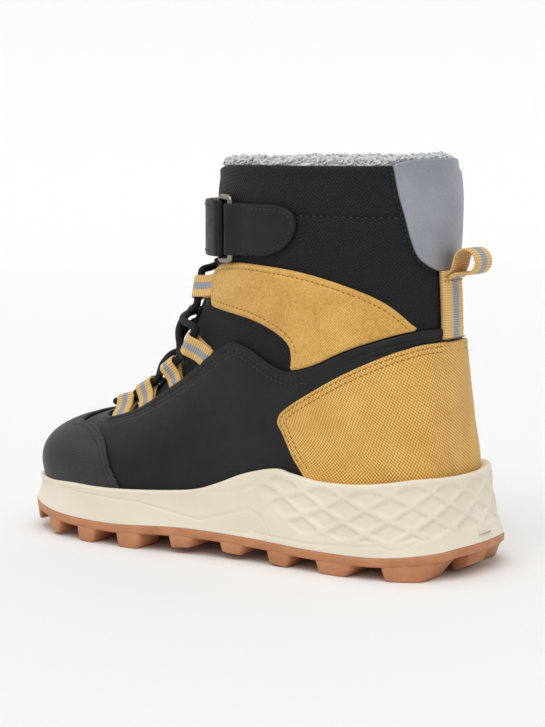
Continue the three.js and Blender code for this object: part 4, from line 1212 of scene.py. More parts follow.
def make_toe_cap():
    """The embossed toe cap, double stitched along its rear edge."""
    rows = (1.4, 3.6)
    seam_only = outline(TOE_SEAM, [[230, 17], [230, 62]])
    fields = ((depth_in(seam_only), (1.0, 1.4, 1.8, 3.2, 3.6, 4.0)),)

    def relief(data, base):
        return 0.15 * smooth(data[:, FIELD], 3.8, 6) - 0.35 * furrows(data[:, FIELD], rows)

    made = panel_mesh(from_outline(TOE_AREA), COVER, "front", (9.5, LAST_ROW), 1.2, 0.9, relief, fields)
    panel("embossed_toe_cap", made, nodes=("toe_cap",), slot="textured_cap", look="cap")
    lines = []
    for level in rows:
        lines += row_points(made, FIELD, level, lambda x, y, z: z > 24)
    stitches("toe_cap_stitches", lines, "black_thread", "textured_cap", length=1.5, pause=0.8, radius=0.22)


def make_counter():
    """The canvas heel counter, double stitched along its top and front."""
    rows = (1.5, 3.5)
    edge_only = outline(COUNTER_EDGE, [[-10, 30]])
    fields = ((depth_in(edge_only), (1.1, 1.5, 1.9, 3.1, 3.5, 3.9)),)

    def relief(data, base):
        return -0.3 * furrows(data[:, FIELD], rows) * smooth(base[:, 2], 38, 40)

    made = panel_mesh(from_outline(COUNTER_AREA), COVER, "back", (4, 9.5), 1.2, 0.9, relief, fields)
    panel("canvas_heel_counter", made, nodes=("heel_counter_cover",), slot="yellow_canvas", look="coarse")
    lines = []
    for level in rows:
        lines += row_points(made, FIELD, level, lambda x, y, z: (z > 39) & (np.abs(x) > 8))
    stitches("counter_stitches", lines, "ochre_thread", "yellow_canvas", length=1.4, pause=0.7,
             radius=0.22, sink=0.05)


def make_patch():
    """The reflective patch round the back of the collar, lightly padded."""

    def relief(data, base):
        return 1.3 * smooth(data[:, EDGE], 0.3, 10) + 0.3 * (lumps(base, 13, 4) - 0.5)

    made = panel_mesh(from_outline(PATCH), OVERLAY, "back", (0.6, 4.5), 1.2, 0.9, relief)
    piece = panel("reflective_collar_patch", made, nodes=("collar_patch",), slot="grey_reflective",
                  look="film")


def make_heel_webbing():
    """The strip of webbing down the heel, over the patch and the counter."""
    face, outside = COVER[1] + 0.25, -5.0

    def region(x, y, z):
        distance = np.minimum(WEBBING_WIDTH / 2 - np.abs(x), np.minimum(z - STRIP_FOOT, STRIP_TOP - z))
        return np.where(y < 60, distance, outside), z

    made = panel_mesh(region, (COVER[0] - 1.0, face), "back", (1.5, 6), 0.9, 0.6)
    across = form(made["data"][:, 0], made["data"][:, 1], COVER[1])
    made["uv"] = np.tile(np.stack([across[:, 0], across[:, 2]], 1), (2, 1))
    panel("ribbed_heel_webbing", made, nodes=("heel_webbing",), slot="tan_webbing", look="webbing")
    lines, count, back_radius = [], 40, 30
    x = np.linspace(-5.6, 5.6, count)
    for height in (90.2, 111.0, 112.8):
        s, _ = locate(np.full(count, 30.0), np.full(count, height), face)
        lines.append((s, -x / back_radius, np.full(count, face)))
    stitches("heel_webbing_stitches", lines, "ochre_thread", "tan_webbing", length=1.2, pause=0.5,
             radius=0.2)


def bezier(a, b, c, d):
    """Sixteen points along a cubic Bezier curve."""
    a, b, c, d = (np.array(p, float) for p in (a, b, c, d))
    t = np.linspace(0, 1, 16)[:, None]
    return a * (1 - t) ** 3 + 3 * b * t * (1 - t) ** 2 + 3 * c * t**2 * (1 - t) + d * t**3


def make_pull_loop():
    """The pull loop: two layers of webbing at its root that part and meet round a far end."""
    root = section(locate(30.0, PULL_LOOP_ROOT)[0], COVER[1] + 4 * GAP)[0]
    layer, half, far, tuck = 0.6, 4.6, -PULL_LOOP_REACH - 0.6, 1.3
    belly = far + half
    bend = (4 * far - belly) / 3
    rise = bezier([0, layer], [-3, layer], [belly + 3, half], [belly, half])
    path = np.concatenate([
        [[tuck, layer]], rise, bezier(rise[-1], [bend, half], [bend, -half], [belly, -half])[1:],
        (rise * [1, -1])[::-1][1:], [[tuck, -layer]],
    ])
    cosine, sine = np.cos(PULL_LOOP_TILT), np.sin(PULL_LOOP_TILT)
    turned = path @ np.array([[cosine, -sine], [sine, cosine]])
    path = np.concatenate([np.zeros((len(path), 1)), root + turned], 1)
    across = np.tile([1.0, 0, 0], (len(path), 1))
    points, faces, uv = ribbon(path, across, WEBBING_WIDTH, 1.1, plain=1)
    build_mesh("ribbed_pull_loop", points, faces, uv, "pull_loop", ("pull_loop",), "tan_webbing", "webbing")


# ---- lace loops and lace ----
LACE_LOOPS = [
    (164.5, 50, -14, 3.5),
    (149.5, 55.4, -15, 8),
    (131.5, 65.5, -15, 8.6),
    (113, 78.8, -7, 11.5),
    (112.6, 106, 0.6, 9),
]


def loop_frame(row, side):
    """Where a lace loop leaves its edge, its directions, and where the lace runs in it."""
    y, z, slope_y, slope_z = row
    edge, normal, _, _ = skin(y, z, OVERLAY[0], side)
    ahead = skin(y + slope_y * 0.1, z + slope_z * 0.1, OVERLAY[0], side)[0]
    along = unit(ahead - edge)
    inward = unit(np.cross(along, normal) * side)
    up = normal * np.cos(LOOP_TILT) - inward * np.sin(LOOP_TILT)
    out = inward * np.cos(LOOP_TILT) + normal * np.sin(LOOP_TILT)
    lace = edge + out * LOOP_REACH + up * LACE_RISE
    return {"edge": edge, "along": along, "up": up, "out": out, "lace": lace, "side": side}


FRAMES = {
    "inner": [loop_frame(row, -1) for row in LACE_LOOPS],
    "outer": [loop_frame(row, 1) for row in LACE_LOOPS],
}
# Heights of the lower and the upper strand where they cross, as offsets from the last.
LACE_LOW = TONGUE[1] + LACE_RADIUS + 0.6
LACE_HIGH = LACE_LOW + 2 * LACE_RADIUS + 0.8


def ridge_row(place, direction, offset):
    """The row whose front point is square across the throat from a side-view place."""
    rows = np.arange(2, 13, 0.05)
    front = section(rows, offset)[1]
    return rows[np.abs((front - place) @ direction).argmin()]


def through_loop(loop):
    """The lace's points through one loop, from its lower end to its upper end."""
    half = LOOP_WIDTH / 2
    reach = np.array([-half - LACE_LEAD, -half, 0, half, half + LACE_LEAD])
    return loop["lace"] + reach[:, None] * loop["along"]


def crossing(start, end, height):
    """The lace's points over the tongue from one loop to the next one across."""
    leave, arrive = through_loop(start)[4, 1:], through_loop(end)[0, 1:]
    direction = unit(end["lace"][1:] - start["lace"][1:])
    top = form(ridge_row((leave + arrive) / 2, direction, height), np.pi, height)

    def shoulder(place, loop):
        y, z = place + (top[1:] - place) * SHOULDER_SHARE
        return skin(y, z, (height + LACE_LOW) / 2 + 0.4, loop["side"])[0]

    return np.array([shoulder(leave, start), top, shoulder(arrive, end)])


def strand(first, second, height):
    """One strand of the lace from the toe end up, changing sides at each level."""
    parts = []
    for level in range(len(LACE_LOOPS)):
        here, other = (first, second) if level % 2 == 0 else (second, first)
        parts.append(through_loop(here[level]))
        if level < len(LACE_LOOPS) - 1:
            parts.append(crossing(here[level], other[level + 1], height))
    return np.concatenate(parts)


def to_knot(loop, knot):
    """The lace's points from the top loop's mouth into the knot."""
    place = (through_loop(loop)[4, 1:] + knot[1:]) / 2
    shoulder = skin(place[0], place[1], LACE_LOW + GAP, loop["side"])[0]
    return np.array([shoulder, knot + [KNOT_INSET * loop["side"], 0, 0]])


def make_lace():
    """The lace: a round cord through every loop, both strands crossing over the tongue.

    Its two ends run into a barrel knot just under the strap.
    """
    inner, outer = FRAMES["inner"], FRAMES["outer"]
    row = ridge_row(np.array([0, KNOT_HEIGHT]), np.array([0, 1.0]), LACE_LOW)
    knot, normal = outward(row, np.pi, TONGUE[1] + 3 * GAP + KNOT_DEPTH)
    one = np.concatenate([strand(inner, outer, LACE_LOW), to_knot(inner[-1], knot)])
    two = np.concatenate([strand(outer, inner, LACE_HIGH), to_knot(outer[-1], knot)])
    toeward = through_loop(inner[0])[0, 1:] + [LACE_LEAD, 0]
    bar = form(ridge_row(toeward, np.array([1.0, 0]), LACE_LOW), np.pi, LACE_LOW + 1)
    path = cord_curve(np.concatenate([one[::-1], bar[None], two]), 900)
    turns, half_length, coil_radius, count = 3, 2.9, 1.25, 90
    turn = np.linspace(0, turns * 2 * np.pi, count)
    across, upward = np.array([1.0, 0, 0]), np.cross([1.0, 0, 0], normal)
    coil = knot + np.linspace(-half_length, half_length, count)[:, None] * across
    coil = coil + coil_radius * (np.cos(turn)[:, None] * normal + np.sin(turn)[:, None] * upward)
    parts = [tube(path, round_ring(LACE_RADIUS, 16)), tube(coil, round_ring(1.2, 12))]
    points, faces, uv = join(parts)
    build_mesh("braided_lace", points, faces, uv, "boot", ("lace",), "black_cord", "cord")


def make_lace_loops():
    """Ten folds of webbing along the throat, each round the lace."""
    tunnel = LACE_RADIUS + 0.25
    thickness, wrap = 0.9, 0.62 * np.pi
    radius = tunnel + thickness / 2
    turn = np.linspace(-wrap, wrap, 15)
    bend = np.stack([LOOP_REACH + radius * np.cos(turn), LACE_RISE + radius * np.sin(turn)], 1)
    under = [[-3.2, -0.4], [0.2, 0.2], [3.4, 0.1]]
    over = [[3.4, 1.6], [0.4, 1.35], [-3.0, 0.7]]
    fold = even(curve(np.concatenate([under, bend, over]), 4), 70)
    for side, word in (("inner", "medial"), ("outer", "lateral")):
        for index, loop in enumerate(FRAMES[side]):
            path = loop["edge"] + fold[:, :1] * loop["out"] + fold[:, 1:] * loop["up"]
            across = np.tile(loop["along"], (len(path), 1))
            points, faces, uv = ribbon(path, across, LOOP_WIDTH, thickness, plain=-loop["side"])
            name = f"lace_loop_{word}_{index + 1}"
            build_mesh(f"webbing_{name}", points, faces, uv, "boot", (name,), "tan_webbing", "loop_webbing")


# ---- ring, tab and strap ----
SLEEVE_RADIUS = RING_WIRE + GAP + 1.2
BAR_OFFSET = OVERLAY[0] + SLEEVE_RADIUS
REAR_BAR = skin(96.5, STRAP_HEIGHT, BAR_OFFSET, -1)[0]
FRONT_BAR = skin(104.3, STRAP_HEIGHT, BAR_OFFSET, -1)[0]
FOLD_RADIUS = RING_WIRE + GAP + 0.55


def make_ring():
    """The wire ring: a rounded rectangle of round wire that stands off the shaft."""
    across = FRONT_BAR - REAR_BAR
    half_across = np.linalg.norm(across) / 2
    across = unit(across)
    middle = (REAR_BAR + FRONT_BAR) / 2
    half_up = STRAP_WIDTH / 2 + RING_WIRE
    turn = np.linspace(0, np.pi / 2, 9)
    corners = []
    for k, (sx, sy) in enumerate(((1, 1), (-1, 1), (-1, -1), (1, -1))):
        centre = np.array([sx * (half_across - RING_CORNER), sy * (half_up - RING_CORNER)])
        angle = turn + k * np.pi / 2
        corners.append(centre + RING_CORNER * np.stack([np.cos(angle), np.sin(angle)], 1))
    flat = np.concatenate(corners)
    flat = even(np.concatenate([flat, flat[:1]]), 121)[:-1]
    path = middle + flat[:, :1] * across + flat[:, 1:] * np.array([0, 0, 1.0])
    side = np.tile(unit(np.cross(across, [0, 0, 1.0])), (len(path), 1))
    points, faces, uv = tube(path, round_ring(RING_WIRE, 16), closed=True, across=side)
    build_mesh("wire_ring", points, faces, uv, "ring", ("strap_ring",), "nickel_wire", "nickel")


def fold_path(bar, way, lead, lift, drop):
    """A fold round an upright bar: in along one face, round the far side, back along the other."""
    normal = unit(np.cross(way, [0, 0, 1.0]))
    if normal[0] > 0:
        normal = -normal
    turn = np.linspace(np.pi / 2, -np.pi / 2, 15)
    bend = bar - FOLD_RADIUS * np.cos(turn)[:, None] * way + FOLD_RADIUS * np.sin(turn)[:, None] * normal
    top = bar + lead * way + lift * normal
    low = bar + lead * way + drop * normal
    return np.concatenate([top[None], bend, low[None]])


def make_ring_tab():
    """The stitched tab that holds the ring's rear bar in its fold."""
    y, z = REAR_BAR[1], STRAP_HEIGHT
    half = STRAP_WIDTH / 2 - 0.8
    end = y - 32
    upper = bezier([y - 19, z + half], [y - 27, z + half], [end, z + 8], [end, z + 2.5])
    lower = bezier([end, z + 2.5], [end, z - 4], [y - 24, z - half], [y - 15, z - half])
    shape = outline([[y, z - half], [y, z + half]], upper, lower)
    open_shape = outline([[y + 30, z - half], [y + 30, z + half]], upper, lower)
    row = 2.1
    fields = ((depth_in(open_shape), (1.7, row, 2.5)),)

    def relief(data, base):
        return 0.12 * smooth(data[:, FIELD], 2.6, 6) - 0.35 * furrows(data[:, FIELD], (row,))

    layer = OVERLAY[0], OVERLAY[0] + 2
    made = panel_mesh(from_outline(shape), layer, "inner", (1, 5), 1.0, 0.9, relief, fields)

    def place(back, offset):
        return skin(y - back, z, offset, -1)[0]

    ahead = unit(FRONT_BAR - REAR_BAR)
    normal = np.cross([0, 0, 1.0], ahead)
    turn = np.radians([105, 70, 35, 0, -35, -70, -95])[:, None]
    bend = REAR_BAR + FOLD_RADIUS * (np.cos(turn) * ahead + np.sin(turn) * normal)
    fold = [place(9, 2.96), place(6, 3.0), place(3.6, 3.6), *bend, place(3.4, 2.1), place(6, 2.1)]
    path = even(curve(np.array(fold), 6), 70)
    upright = np.tile([0, 0, 1.0], (len(path), 1))
    band = ribbon(path, upright, 2 * half - 0.4, 1.05)
    points, faces, uv = join([(made["points"], made["faces"], made["uv"]), band])
    tidy(build_mesh("stitched_ring_tab", points, faces, uv, "boot", ("ring_tab",), "black_synthetic",
                    "leather"))
    lines = row_points(made, FIELD, row, lambda xx, yy, zz: yy < y - 8)
    stitches("ring_tab_stitches", lines, "black_thread", "black_synthetic", length=1.4, pause=0.8)


def level_path(height, offset, y_inner, y_outer):
    """A line round the front of the shaft at one height, between two places along it."""
    count = 160

    def place(y, side):
        return skin(y, height, offset, side)[3]

    first = place(y_inner, -1)
    last = 2 * np.pi + place(y_outer, 1)
    angle = np.linspace(first, last, count)
    low, high = np.zeros(count), np.full(count, 7.0)
    for _ in range(40):
        middle = (low + high) / 2
        above = form(middle, angle, offset)[:, 2] > height
        low, high = np.where(above, middle, low), np.where(above, high, middle)
    return form(low, angle, offset)


def read_rows(table, t):
    """A table's rows read at row numbers t, straight between rows."""
    return np.stack([np.interp(t, np.arange(len(table)), column) for column in table.T], 1)


def band_stitches(name, path, width, thickness, body):
    """Two rows of threads along a strap, close to its edges, on its outer face."""
    inset, pitch, share = 2.0, 2.3, 0.66
    way = unit(np.gradient(path, axis=0))
    up = np.array([0, 0, 1.0])
    normal = unit(np.cross(way, up))
    normal = np.where((normal * (path - path.mean(0))).sum(1, keepdims=True) < 0, -normal, normal)
    parts, total = [], 0
    for sign in (-1, 1):
        edge = path + normal * (thickness / 2 + 0.02) + sign * (width / 2 - inset) * up
        track = even(edge, len(path) * 4)
        count = int(np.linalg.norm(np.diff(track, axis=0), axis=1).sum() / pitch)
        first = np.linspace(0, len(track) - 1, count + 1)[:-1]
        step = (len(track) - 1) / count * share
        lean = unit(read_rows(normal, first / 4))
        points, faces = stitch_mesh(read_rows(track, first), read_rows(track, first + step), lean, 0.24)
        parts.append((points, faces + total))
        total += len(points)
    points = np.concatenate([p for p, _ in parts])
    faces = np.concatenate([f for _, f in parts])
    build_mesh(name, points, faces, body=body, slot="black_synthetic", look="black_thread")


def make_straps():
    """The closing strap: its fixed half, its anchor, its tapes and the loose end round the ring."""
    upright = np.array([0, 0, 1.0])
    fixed_end, tape_start, loop_tape_end, hook_tape_end, loose_end = 62.0, 116.0, 76.0, 80.0, 78.0
    leather_thickness, tape_thickness = 1.15, 0.5

    def band(name, path, width, thickness, body, node_name, slot, look):
        across = np.tile(upright, (len(path), 1))
        points, faces, uv = ribbon(path, across, width, thickness)
        return build_mesh(name, points, faces, uv, body, (node_name,), slot, look)

    inner = level_path(STRAP_HEIGHT, sum(STRAP_INNER) / 2, FRONT_BAR[1] + SLEEVE_RADIUS + 1, fixed_end)
    band("strap_fixed_half", inner, STRAP_WIDTH, 1.0, "boot", "strap_base", "black_synthetic", "leather")
    loop = level_path(STRAP_HEIGHT, sum(LOOP_TAPE) / 2, tape_start, loop_tape_end)
    loop = loop[loop[:, 0] > 0.5]
    band("loop_pile_tape", loop, STRAP_WIDTH - 3, tape_thickness, "boot", "loop_tape",
         "hook_and_loop", "tape")
    hook = level_path(STRAP_HEIGHT, sum(HOOK_TAPE) / 2, tape_start, hook_tape_end)
    hook = hook[hook[:, 0] > 2.5]
    band("hook_pile_tape", hook, STRAP_WIDTH - 4, tape_thickness, "strap", "hook_tape",
         "hook_and_loop", "tape")

    outer = level_path(STRAP_HEIGHT, sum(STRAP_OUTER) / 2, FRONT_BAR[1] + 5, loose_end)
    way = unit(FRONT_BAR - REAR_BAR)
    fold = fold_path(FRONT_BAR, way, 8.0, 1.6, -0.5)[1:]
    track = np.concatenate([outer[::-1], curve(fold, 1)])
    whole = even(track, 260)
    blur = np.ones(7) / 7
    padded = np.pad(whole, ((3, 3), (0, 0)), mode="edge")
    whole = np.stack([np.convolve(column, blur, "valid") for column in padded.T], 1)
    band("strap_loose_end", whole, STRAP_WIDTH, leather_thickness, "strap", "strap_end",
         "black_synthetic", "leather")
    band_stitches("strap_stitches", outer[::-1], STRAP_WIDTH, leather_thickness, "strap")

    half_length, middle, margin, outside = 7, 67, 1.5, -3.0

    def region(x, y, z):
        upward = STRAP_WIDTH / 2 + margin - np.abs(z - STRAP_HEIGHT)
        distance = np.minimum(half_length - np.abs(y - middle), upward)
        return np.where(x > 0, distance, outside), z + y

    layer = OVERLAY[0], STRAP_INNER[0] - GAP
    made = panel_mesh(region, layer, "outer", (1, 5), 1.0, 0.8)
    panel("strap_anchor_patch", made, nodes=("strap_anchor",), slot="black_synthetic", look="leather")


# ---- lining ----
def make_lining():
    """The fleece lining: a lumpy sheet from the collar to the toe."""
    rim = RIM + [0, LINING_RISE - 0.6]
    area = outline(rim, [[230, 143], [230, -20], [-10, -20]])

    layer = (CAVITY, -GAP)
    made = panel_mesh(from_outline(area), layer, "back", (0, LAST_ROW - 0.4), 2.2, 2.3, both=True)
    points = made["points"].copy()
    count = len(made["data"])
    fuzz = (lumps(points, 2.4, 11) * 0.6 + lumps(points, 1.2, 12) * 0.4 - 0.5) * 1.6
    _, normal = outward(made["data"][:, 0], made["data"][:, 1], CAVITY)
    points[count:] -= normal * fuzz[count:, None]
    tidy(build_mesh("fleece_lining", points, made["faces"], made["uv"], "boot", ("lining",), "fleece",
                    "fleece"))


def make_curls():
    """Fleece curls: short soft threads wound once round themselves, thick on the rim."""
    rng = np.random.default_rng(21)
    count, rim_share, row_height, middle = 5200, 0.62, 22, -2.5
    angle = np.linspace(-np.pi, np.pi, 400)
    s = np.ones(400)
    for _ in range(25):
        place = form(s, angle, middle)
        target = height_on(RIM, place[:, 1]) + LINING_RISE - 0.3
        s = s + (place[:, 2] - target) / row_height
    arc = arc_length(form(s, angle, middle))
    pick = rng.random(count) * arc[-1]
    turn = np.interp(pick, arc, angle)
    row = np.interp(pick, arc, s)
    on_rim = rng.random(count) < rim_share
    depth = np.where(on_rim, rng.random(count) * 2.4, rng.random(count) * 34)
    offset = np.where(on_rim, -0.5 - 4.2 * rng.random(count), CAVITY + 0.2)
    base, normal = outward(row + depth / row_height, turn, offset)
    upright = np.array([0, 0, 1.0]) + 0.55 * rng.normal(size=(count, 3))
    lean = unit(np.where(on_rim[:, None], upright, -normal + 0.6 * rng.normal(size=(count, 3))))
    side = unit(np.cross(lean, rng.normal(size=(count, 3))))
    third = np.cross(lean, side)
    size = 0.7 + 0.5 * rng.random(count)
    stations, sides = 6, 5
    t = np.linspace(0, 1, stations)
    phase = 2 * np.pi * rng.random(count)[:, None]
    swirl = phase + 5.2 * t
    reach = size[:, None] * (0.2 + 1.5 * t)
    spine = base[:, None] + reach[..., None] * lean[:, None]
    spine = spine + (0.75 * size[:, None] * np.cos(swirl))[..., None] * side[:, None]
    spine = spine + (0.75 * size[:, None] * np.sin(swirl))[..., None] * third[:, None]
    way = unit(np.gradient(spine, axis=1))
    across = unit(np.cross(way, lean[:, None] + 0.01))
    up = np.cross(across, way)
    girth = 0.52 * size[:, None] * np.array([0.5, 0.95, 1.0, 0.95, 0.8, 0.35])
    corner = np.linspace(0, 2 * np.pi, sides, endpoint=False)
    ring_points = np.cos(corner)[:, None] * across[:, :, None] + np.sin(corner)[:, None] * up[:, :, None]
    points = spine[:, :, None] + girth[..., None, None] * ring_points
    one = triangles(grid_faces(stations, sides, wrap_columns=True))
    first_cap = np.array([[0, 2, 1], [0, 3, 2], [0, 4, 3]])
    last_cap = first_cap[:, [0, 2, 1]] + sides * (stations - 1)
    one = np.concatenate([one, first_cap, last_cap])
    faces = (one[None] + stations * sides * np.arange(count)[:, None, None]).reshape(-1, 3)
    build_mesh("fleece_curls", points.reshape(-1, 3), faces, slot="fleece", look="fleece")


def make_footbed():
    """The fleece-topped footbed, cupped up at its edges."""
    top_line = curve([
        [-10, 25], [27, 24.5], [60, 20.5], [100, 18.5], [135, 16], [162, 15.5], [181, 16], [230, 18],
    ])
    lift = LINING + GAP + FOOTBED
    y = np.linspace(24.5, 189, 150)
    z = height_on(top_line, y) + lift
    edges = [skin(y, z, CAVITY - GAP, side)[0][:, 0] for side in (-1, 1)]
    taper = np.sqrt(np.clip(np.minimum((y - 24.4) / 9, (189.2 - y) / 12), 0, 1))
    share = np.linspace(-1, 1, 41)
    centre, half = (edges[0] + edges[1]) / 2, (edges[1] - edges[0]) / 2 * taper
    x = centre[:, None] + half[:, None] * share
    rim = np.sqrt(np.clip(1 - np.abs(share) ** 8, 0, 1))
    top = z[:, None] + 1.2 * np.abs(share) ** 4 * rim - 1.6 * (1 - rim)
    low = z[:, None] - 1.6 - 2.4 * rim + 0 * x
    grid_y = y[:, None] + 0 * x
    flat = np.stack([x, grid_y, top], -1).reshape(-1, 3)
    flat[:, 2] += (lumps(flat, 2.4, 14) - 0.5) * 1.1
    under = np.stack([x, grid_y, low], -1).reshape(-1, 3)
    faces = grid_faces(*x.shape)
    edge = np.zeros(x.shape, bool)
    edge[0], edge[-1], edge[:, 0], edge[:, -1] = True, True, True, True
    number = np.arange(x.size)
    below = np.where(edge.ravel(), number, x.size + number)
    points = np.concatenate([flat, under])
    faces = np.concatenate([faces, below[faces][:, ::-1]])
    tidy(build_mesh("fleece_footbed", points, faces, None, "boot", ("footbed",), "fleece", "fleece"))


# ---- sole ----
def height_on(line, y):
    """The height of a side-view line at y."""
    return np.interp(y, line[:, 0], line[:, 1])


def sole_ring(pitch):
    """The sole outline as matched inner and outer halves, with inward directions and spine."""
    dense = np.linspace(0, len(SOLE) - 1, 2001)
    rows = spline(SOLE, dense)
    reach = [np.hypot(np.diff(rows[:, k]), np.diff(rows[:, 0])) for k in (1, 2)]
    arc = np.concatenate([[0], np.cumsum(np.maximum(*reach))])
    count = int(arc[-1] / pitch)
    picked = spline(SOLE, np.interp(np.linspace(0, arc[-1], count), arc, dense))
    inner = np.stack([-picked[:, 1], picked[:, 0]], 1)
    outer = np.stack([picked[:, 2], picked[:, 0]], 1)
    ring = np.concatenate([inner, outer[:0:-1]])
    spine = np.stack([(inner[:, 0] + outer[:, 0]) / 2, picked[:, 0]], 1)
    spine = np.concatenate([spine, spine[:0:-1]])
    way = unit(np.roll(ring, -2, axis=0) - np.roll(ring, 2, axis=0))
    inward = np.stack([way[:, 1], -way[:, 0]], 1)
    along = arc_length(inner)
    return ring, inward, spine, np.concatenate([along, along[:0:-1]])


def lip_inset(y):
    """How far the midsole's top edge is drawn in."""
    return 0.4 + 5.2 * (1 - smooth(y, 2, 34)) + 4.4 * smooth(y, 176, 208)


def waist_inset(y):
    """How far the midsole's wall is drawn in, 9 mm above its bottom."""
    return 1.2 + 2.6 * (1 - smooth(y, 2, 34)) + 2.2 * smooth(y, 176, 208)


def lip_room(ring, inward, z):
    """How far each point of the sole's edge can be drawn in before it meets the covers at height z."""
    reach = np.linspace(0, 9, 46)
    x = ring[:, 0, None] + reach * inward[:, 0, None]
    y = ring[:, 1, None] + reach * inward[:, 1, None]
    s, angle = locate(y, z[:, None], COVER[1] + GAP)
    side = np.where(ring[:, 0] < spline(SECTIONS, 13.0)[5], -1, 1)[:, None]
    wall = form(s, -side * angle, COVER[1] + GAP)[..., 0]
    inside = side * (wall - x) > 0
    inside &= np.abs(wall - section(s)[3]) > 0.5
    return np.where(inside.any(1), reach[inside.argmax(1)], reach[-1])


def groove(y, z, line, width):
    """A groove along an open side-view line."""
    return dent(measure(np.array(line, float), y, z, closed=False)[0], width)


def wall_relief(y, z, along, low, high):
    """The midsole wall's moulding: sunk diamonds round the heel, three drawn lines, a soft facet."""
    rib_u, rib_z = 18.6, 9.4
    from_top = high - z
    p = along / rib_u + from_top / rib_z
    q = along / rib_u - from_top / rib_z
    sunk = 1.0
    for value in (p, q):
        edge = np.abs(value - np.floor(value) - 0.5)
        sunk = sunk * (1 - smooth(edge, 0.32, 0.42))
    start = 84 - 1.1 * np.clip(from_top - 8, 0, 20)
    area = (1 - smooth(y, start - 6, start)) * smooth(from_top, 2.2, 3.6) * smooth(z - low, 5.2, 7.0)
    depth = 0.8 * sunk * area
    drawn = groove(y, z, [
        [188, 23], [167.6, 20.2], [136.6, 19.4], [127.8, 17.8], [109.4, 14.6], [88.3, 20.6],
        [85.9, 21.2], [80.3, 18.2], [76.6, 12.0],
    ], 0.45)
    upper = groove(y, z, [[112, 26], [98, 26.6], [90, 28.6], [84, 31]], 0.6)
    step_line = groove(y, z, [
        [84, 12.2], [59, 11.0], [34, 12.6], [27, 13.2], [24, 12.2], [19, 12.6], [14, 15.4], [9, 16.4],
    ], 0.4)
    facet = smooth(y, 76, 86) * (1 - smooth(y, 86, 108)) * (1 - smooth(z, 12, 20))
    return depth + 0.3 * drawn + 0.22 * upper + 0.3 * step_line + 0.5 * facet


def make_midsole():
    """The foam midsole: one wall round the sole outline, moulded, lipped and hollowed for the foot."""
    ring, inward, spine, along = sole_ring(0.62)
    levels, waist_height, lip_round = [], 9, 1.1
    y0 = ring[:, 1]
    low, high = height_on(MIDSOLE_BOTTOM, y0), height_on(MIDSOLE_TOP, y0)
    lip = np.clip(lip_room(ring, inward, high) - 1.6, 0.1, lip_inset(y0))
    lip = np.convolve(np.pad(lip, 8, mode="wrap"), np.ones(17) / 17, "valid")
    waist = waist_inset(y0)

    def level(inset, z):
        xy = ring + inset[:, None] * inward
        levels.append(np.column_stack([xy, z]))

    levels.append(np.column_stack([spine, low + 0.2]))
    for share in (0.9, 0.5):
        levels.append(np.column_stack([spine + (ring - spine) * (1 - share), low]))
    for inset, lift in ((3.0, 0.0), (0.5, 0.0), (0.1, 0.2)):
        level(np.full_like(lip, inset), low + lift)
    span = high - low
    for t in np.linspace(0, 1, 46)[1:]:
        z = low + 2 * t * (1 - t) * waist_height + t * t * (span - lip_round)
        inset = 2 * t * (1 - t) * waist + t * t * lip
        inset = inset + wall_relief(y0, z, along, low, high) * smooth(z - low, 0.5, 1.5)
        level(inset, z)
    for turn in np.linspace(0, np.pi / 2, 6)[1:]:
        level(lip + lip_round * (1 - np.cos(turn)), high - lip_round + lip_round * np.sin(turn))
    level(lip + 2.2, high - 0.15)
    level(lip + 4.5, high - 1.6)
    level(lip + 5.0, high - 4.0)
    level(lip + 5.5, low + 3.4)
    for share in (0.5, 0.9):
        levels.append(np.column_stack([spine + (ring - spine) * (1 - share) * 0.8, low + 3.0]))
    levels.append(np.column_stack([spine, low + 3.0]))
    points = np.concatenate(levels)
    faces = grid_faces(len(levels), len(ring), wrap_columns=True)
    piece = build_mesh("foam_midsole", points, faces, None, "boot", ("midsole",), "cream_foam", "foam")
    orient(tidy(piece))


def orient(piece):
    """Turns a closed piece's faces outwards after its doubles are merged."""
    sheet = bmesh.new()
    sheet.from_mesh(piece.data)
    bmesh.ops.recalc_face_normals(sheet, faces=sheet.faces)
    sheet.to_mesh(piece.data)
    sheet.free()
    return piece


# Where each lug starts and ends along the sole.
EDGE_LUGS = [
    [8, 28], [37, 56], [66, 79], [88, 101], [111, 124], [135, 149], [158, 170], [179, 189], [197, 205],
]
MIDDLE_LUGS = [
    [4, 14], [23, 37], [50, 61], [75, 86], [99, 110], [122, 134], [146, 157], [168, 179], [189, 200],
]


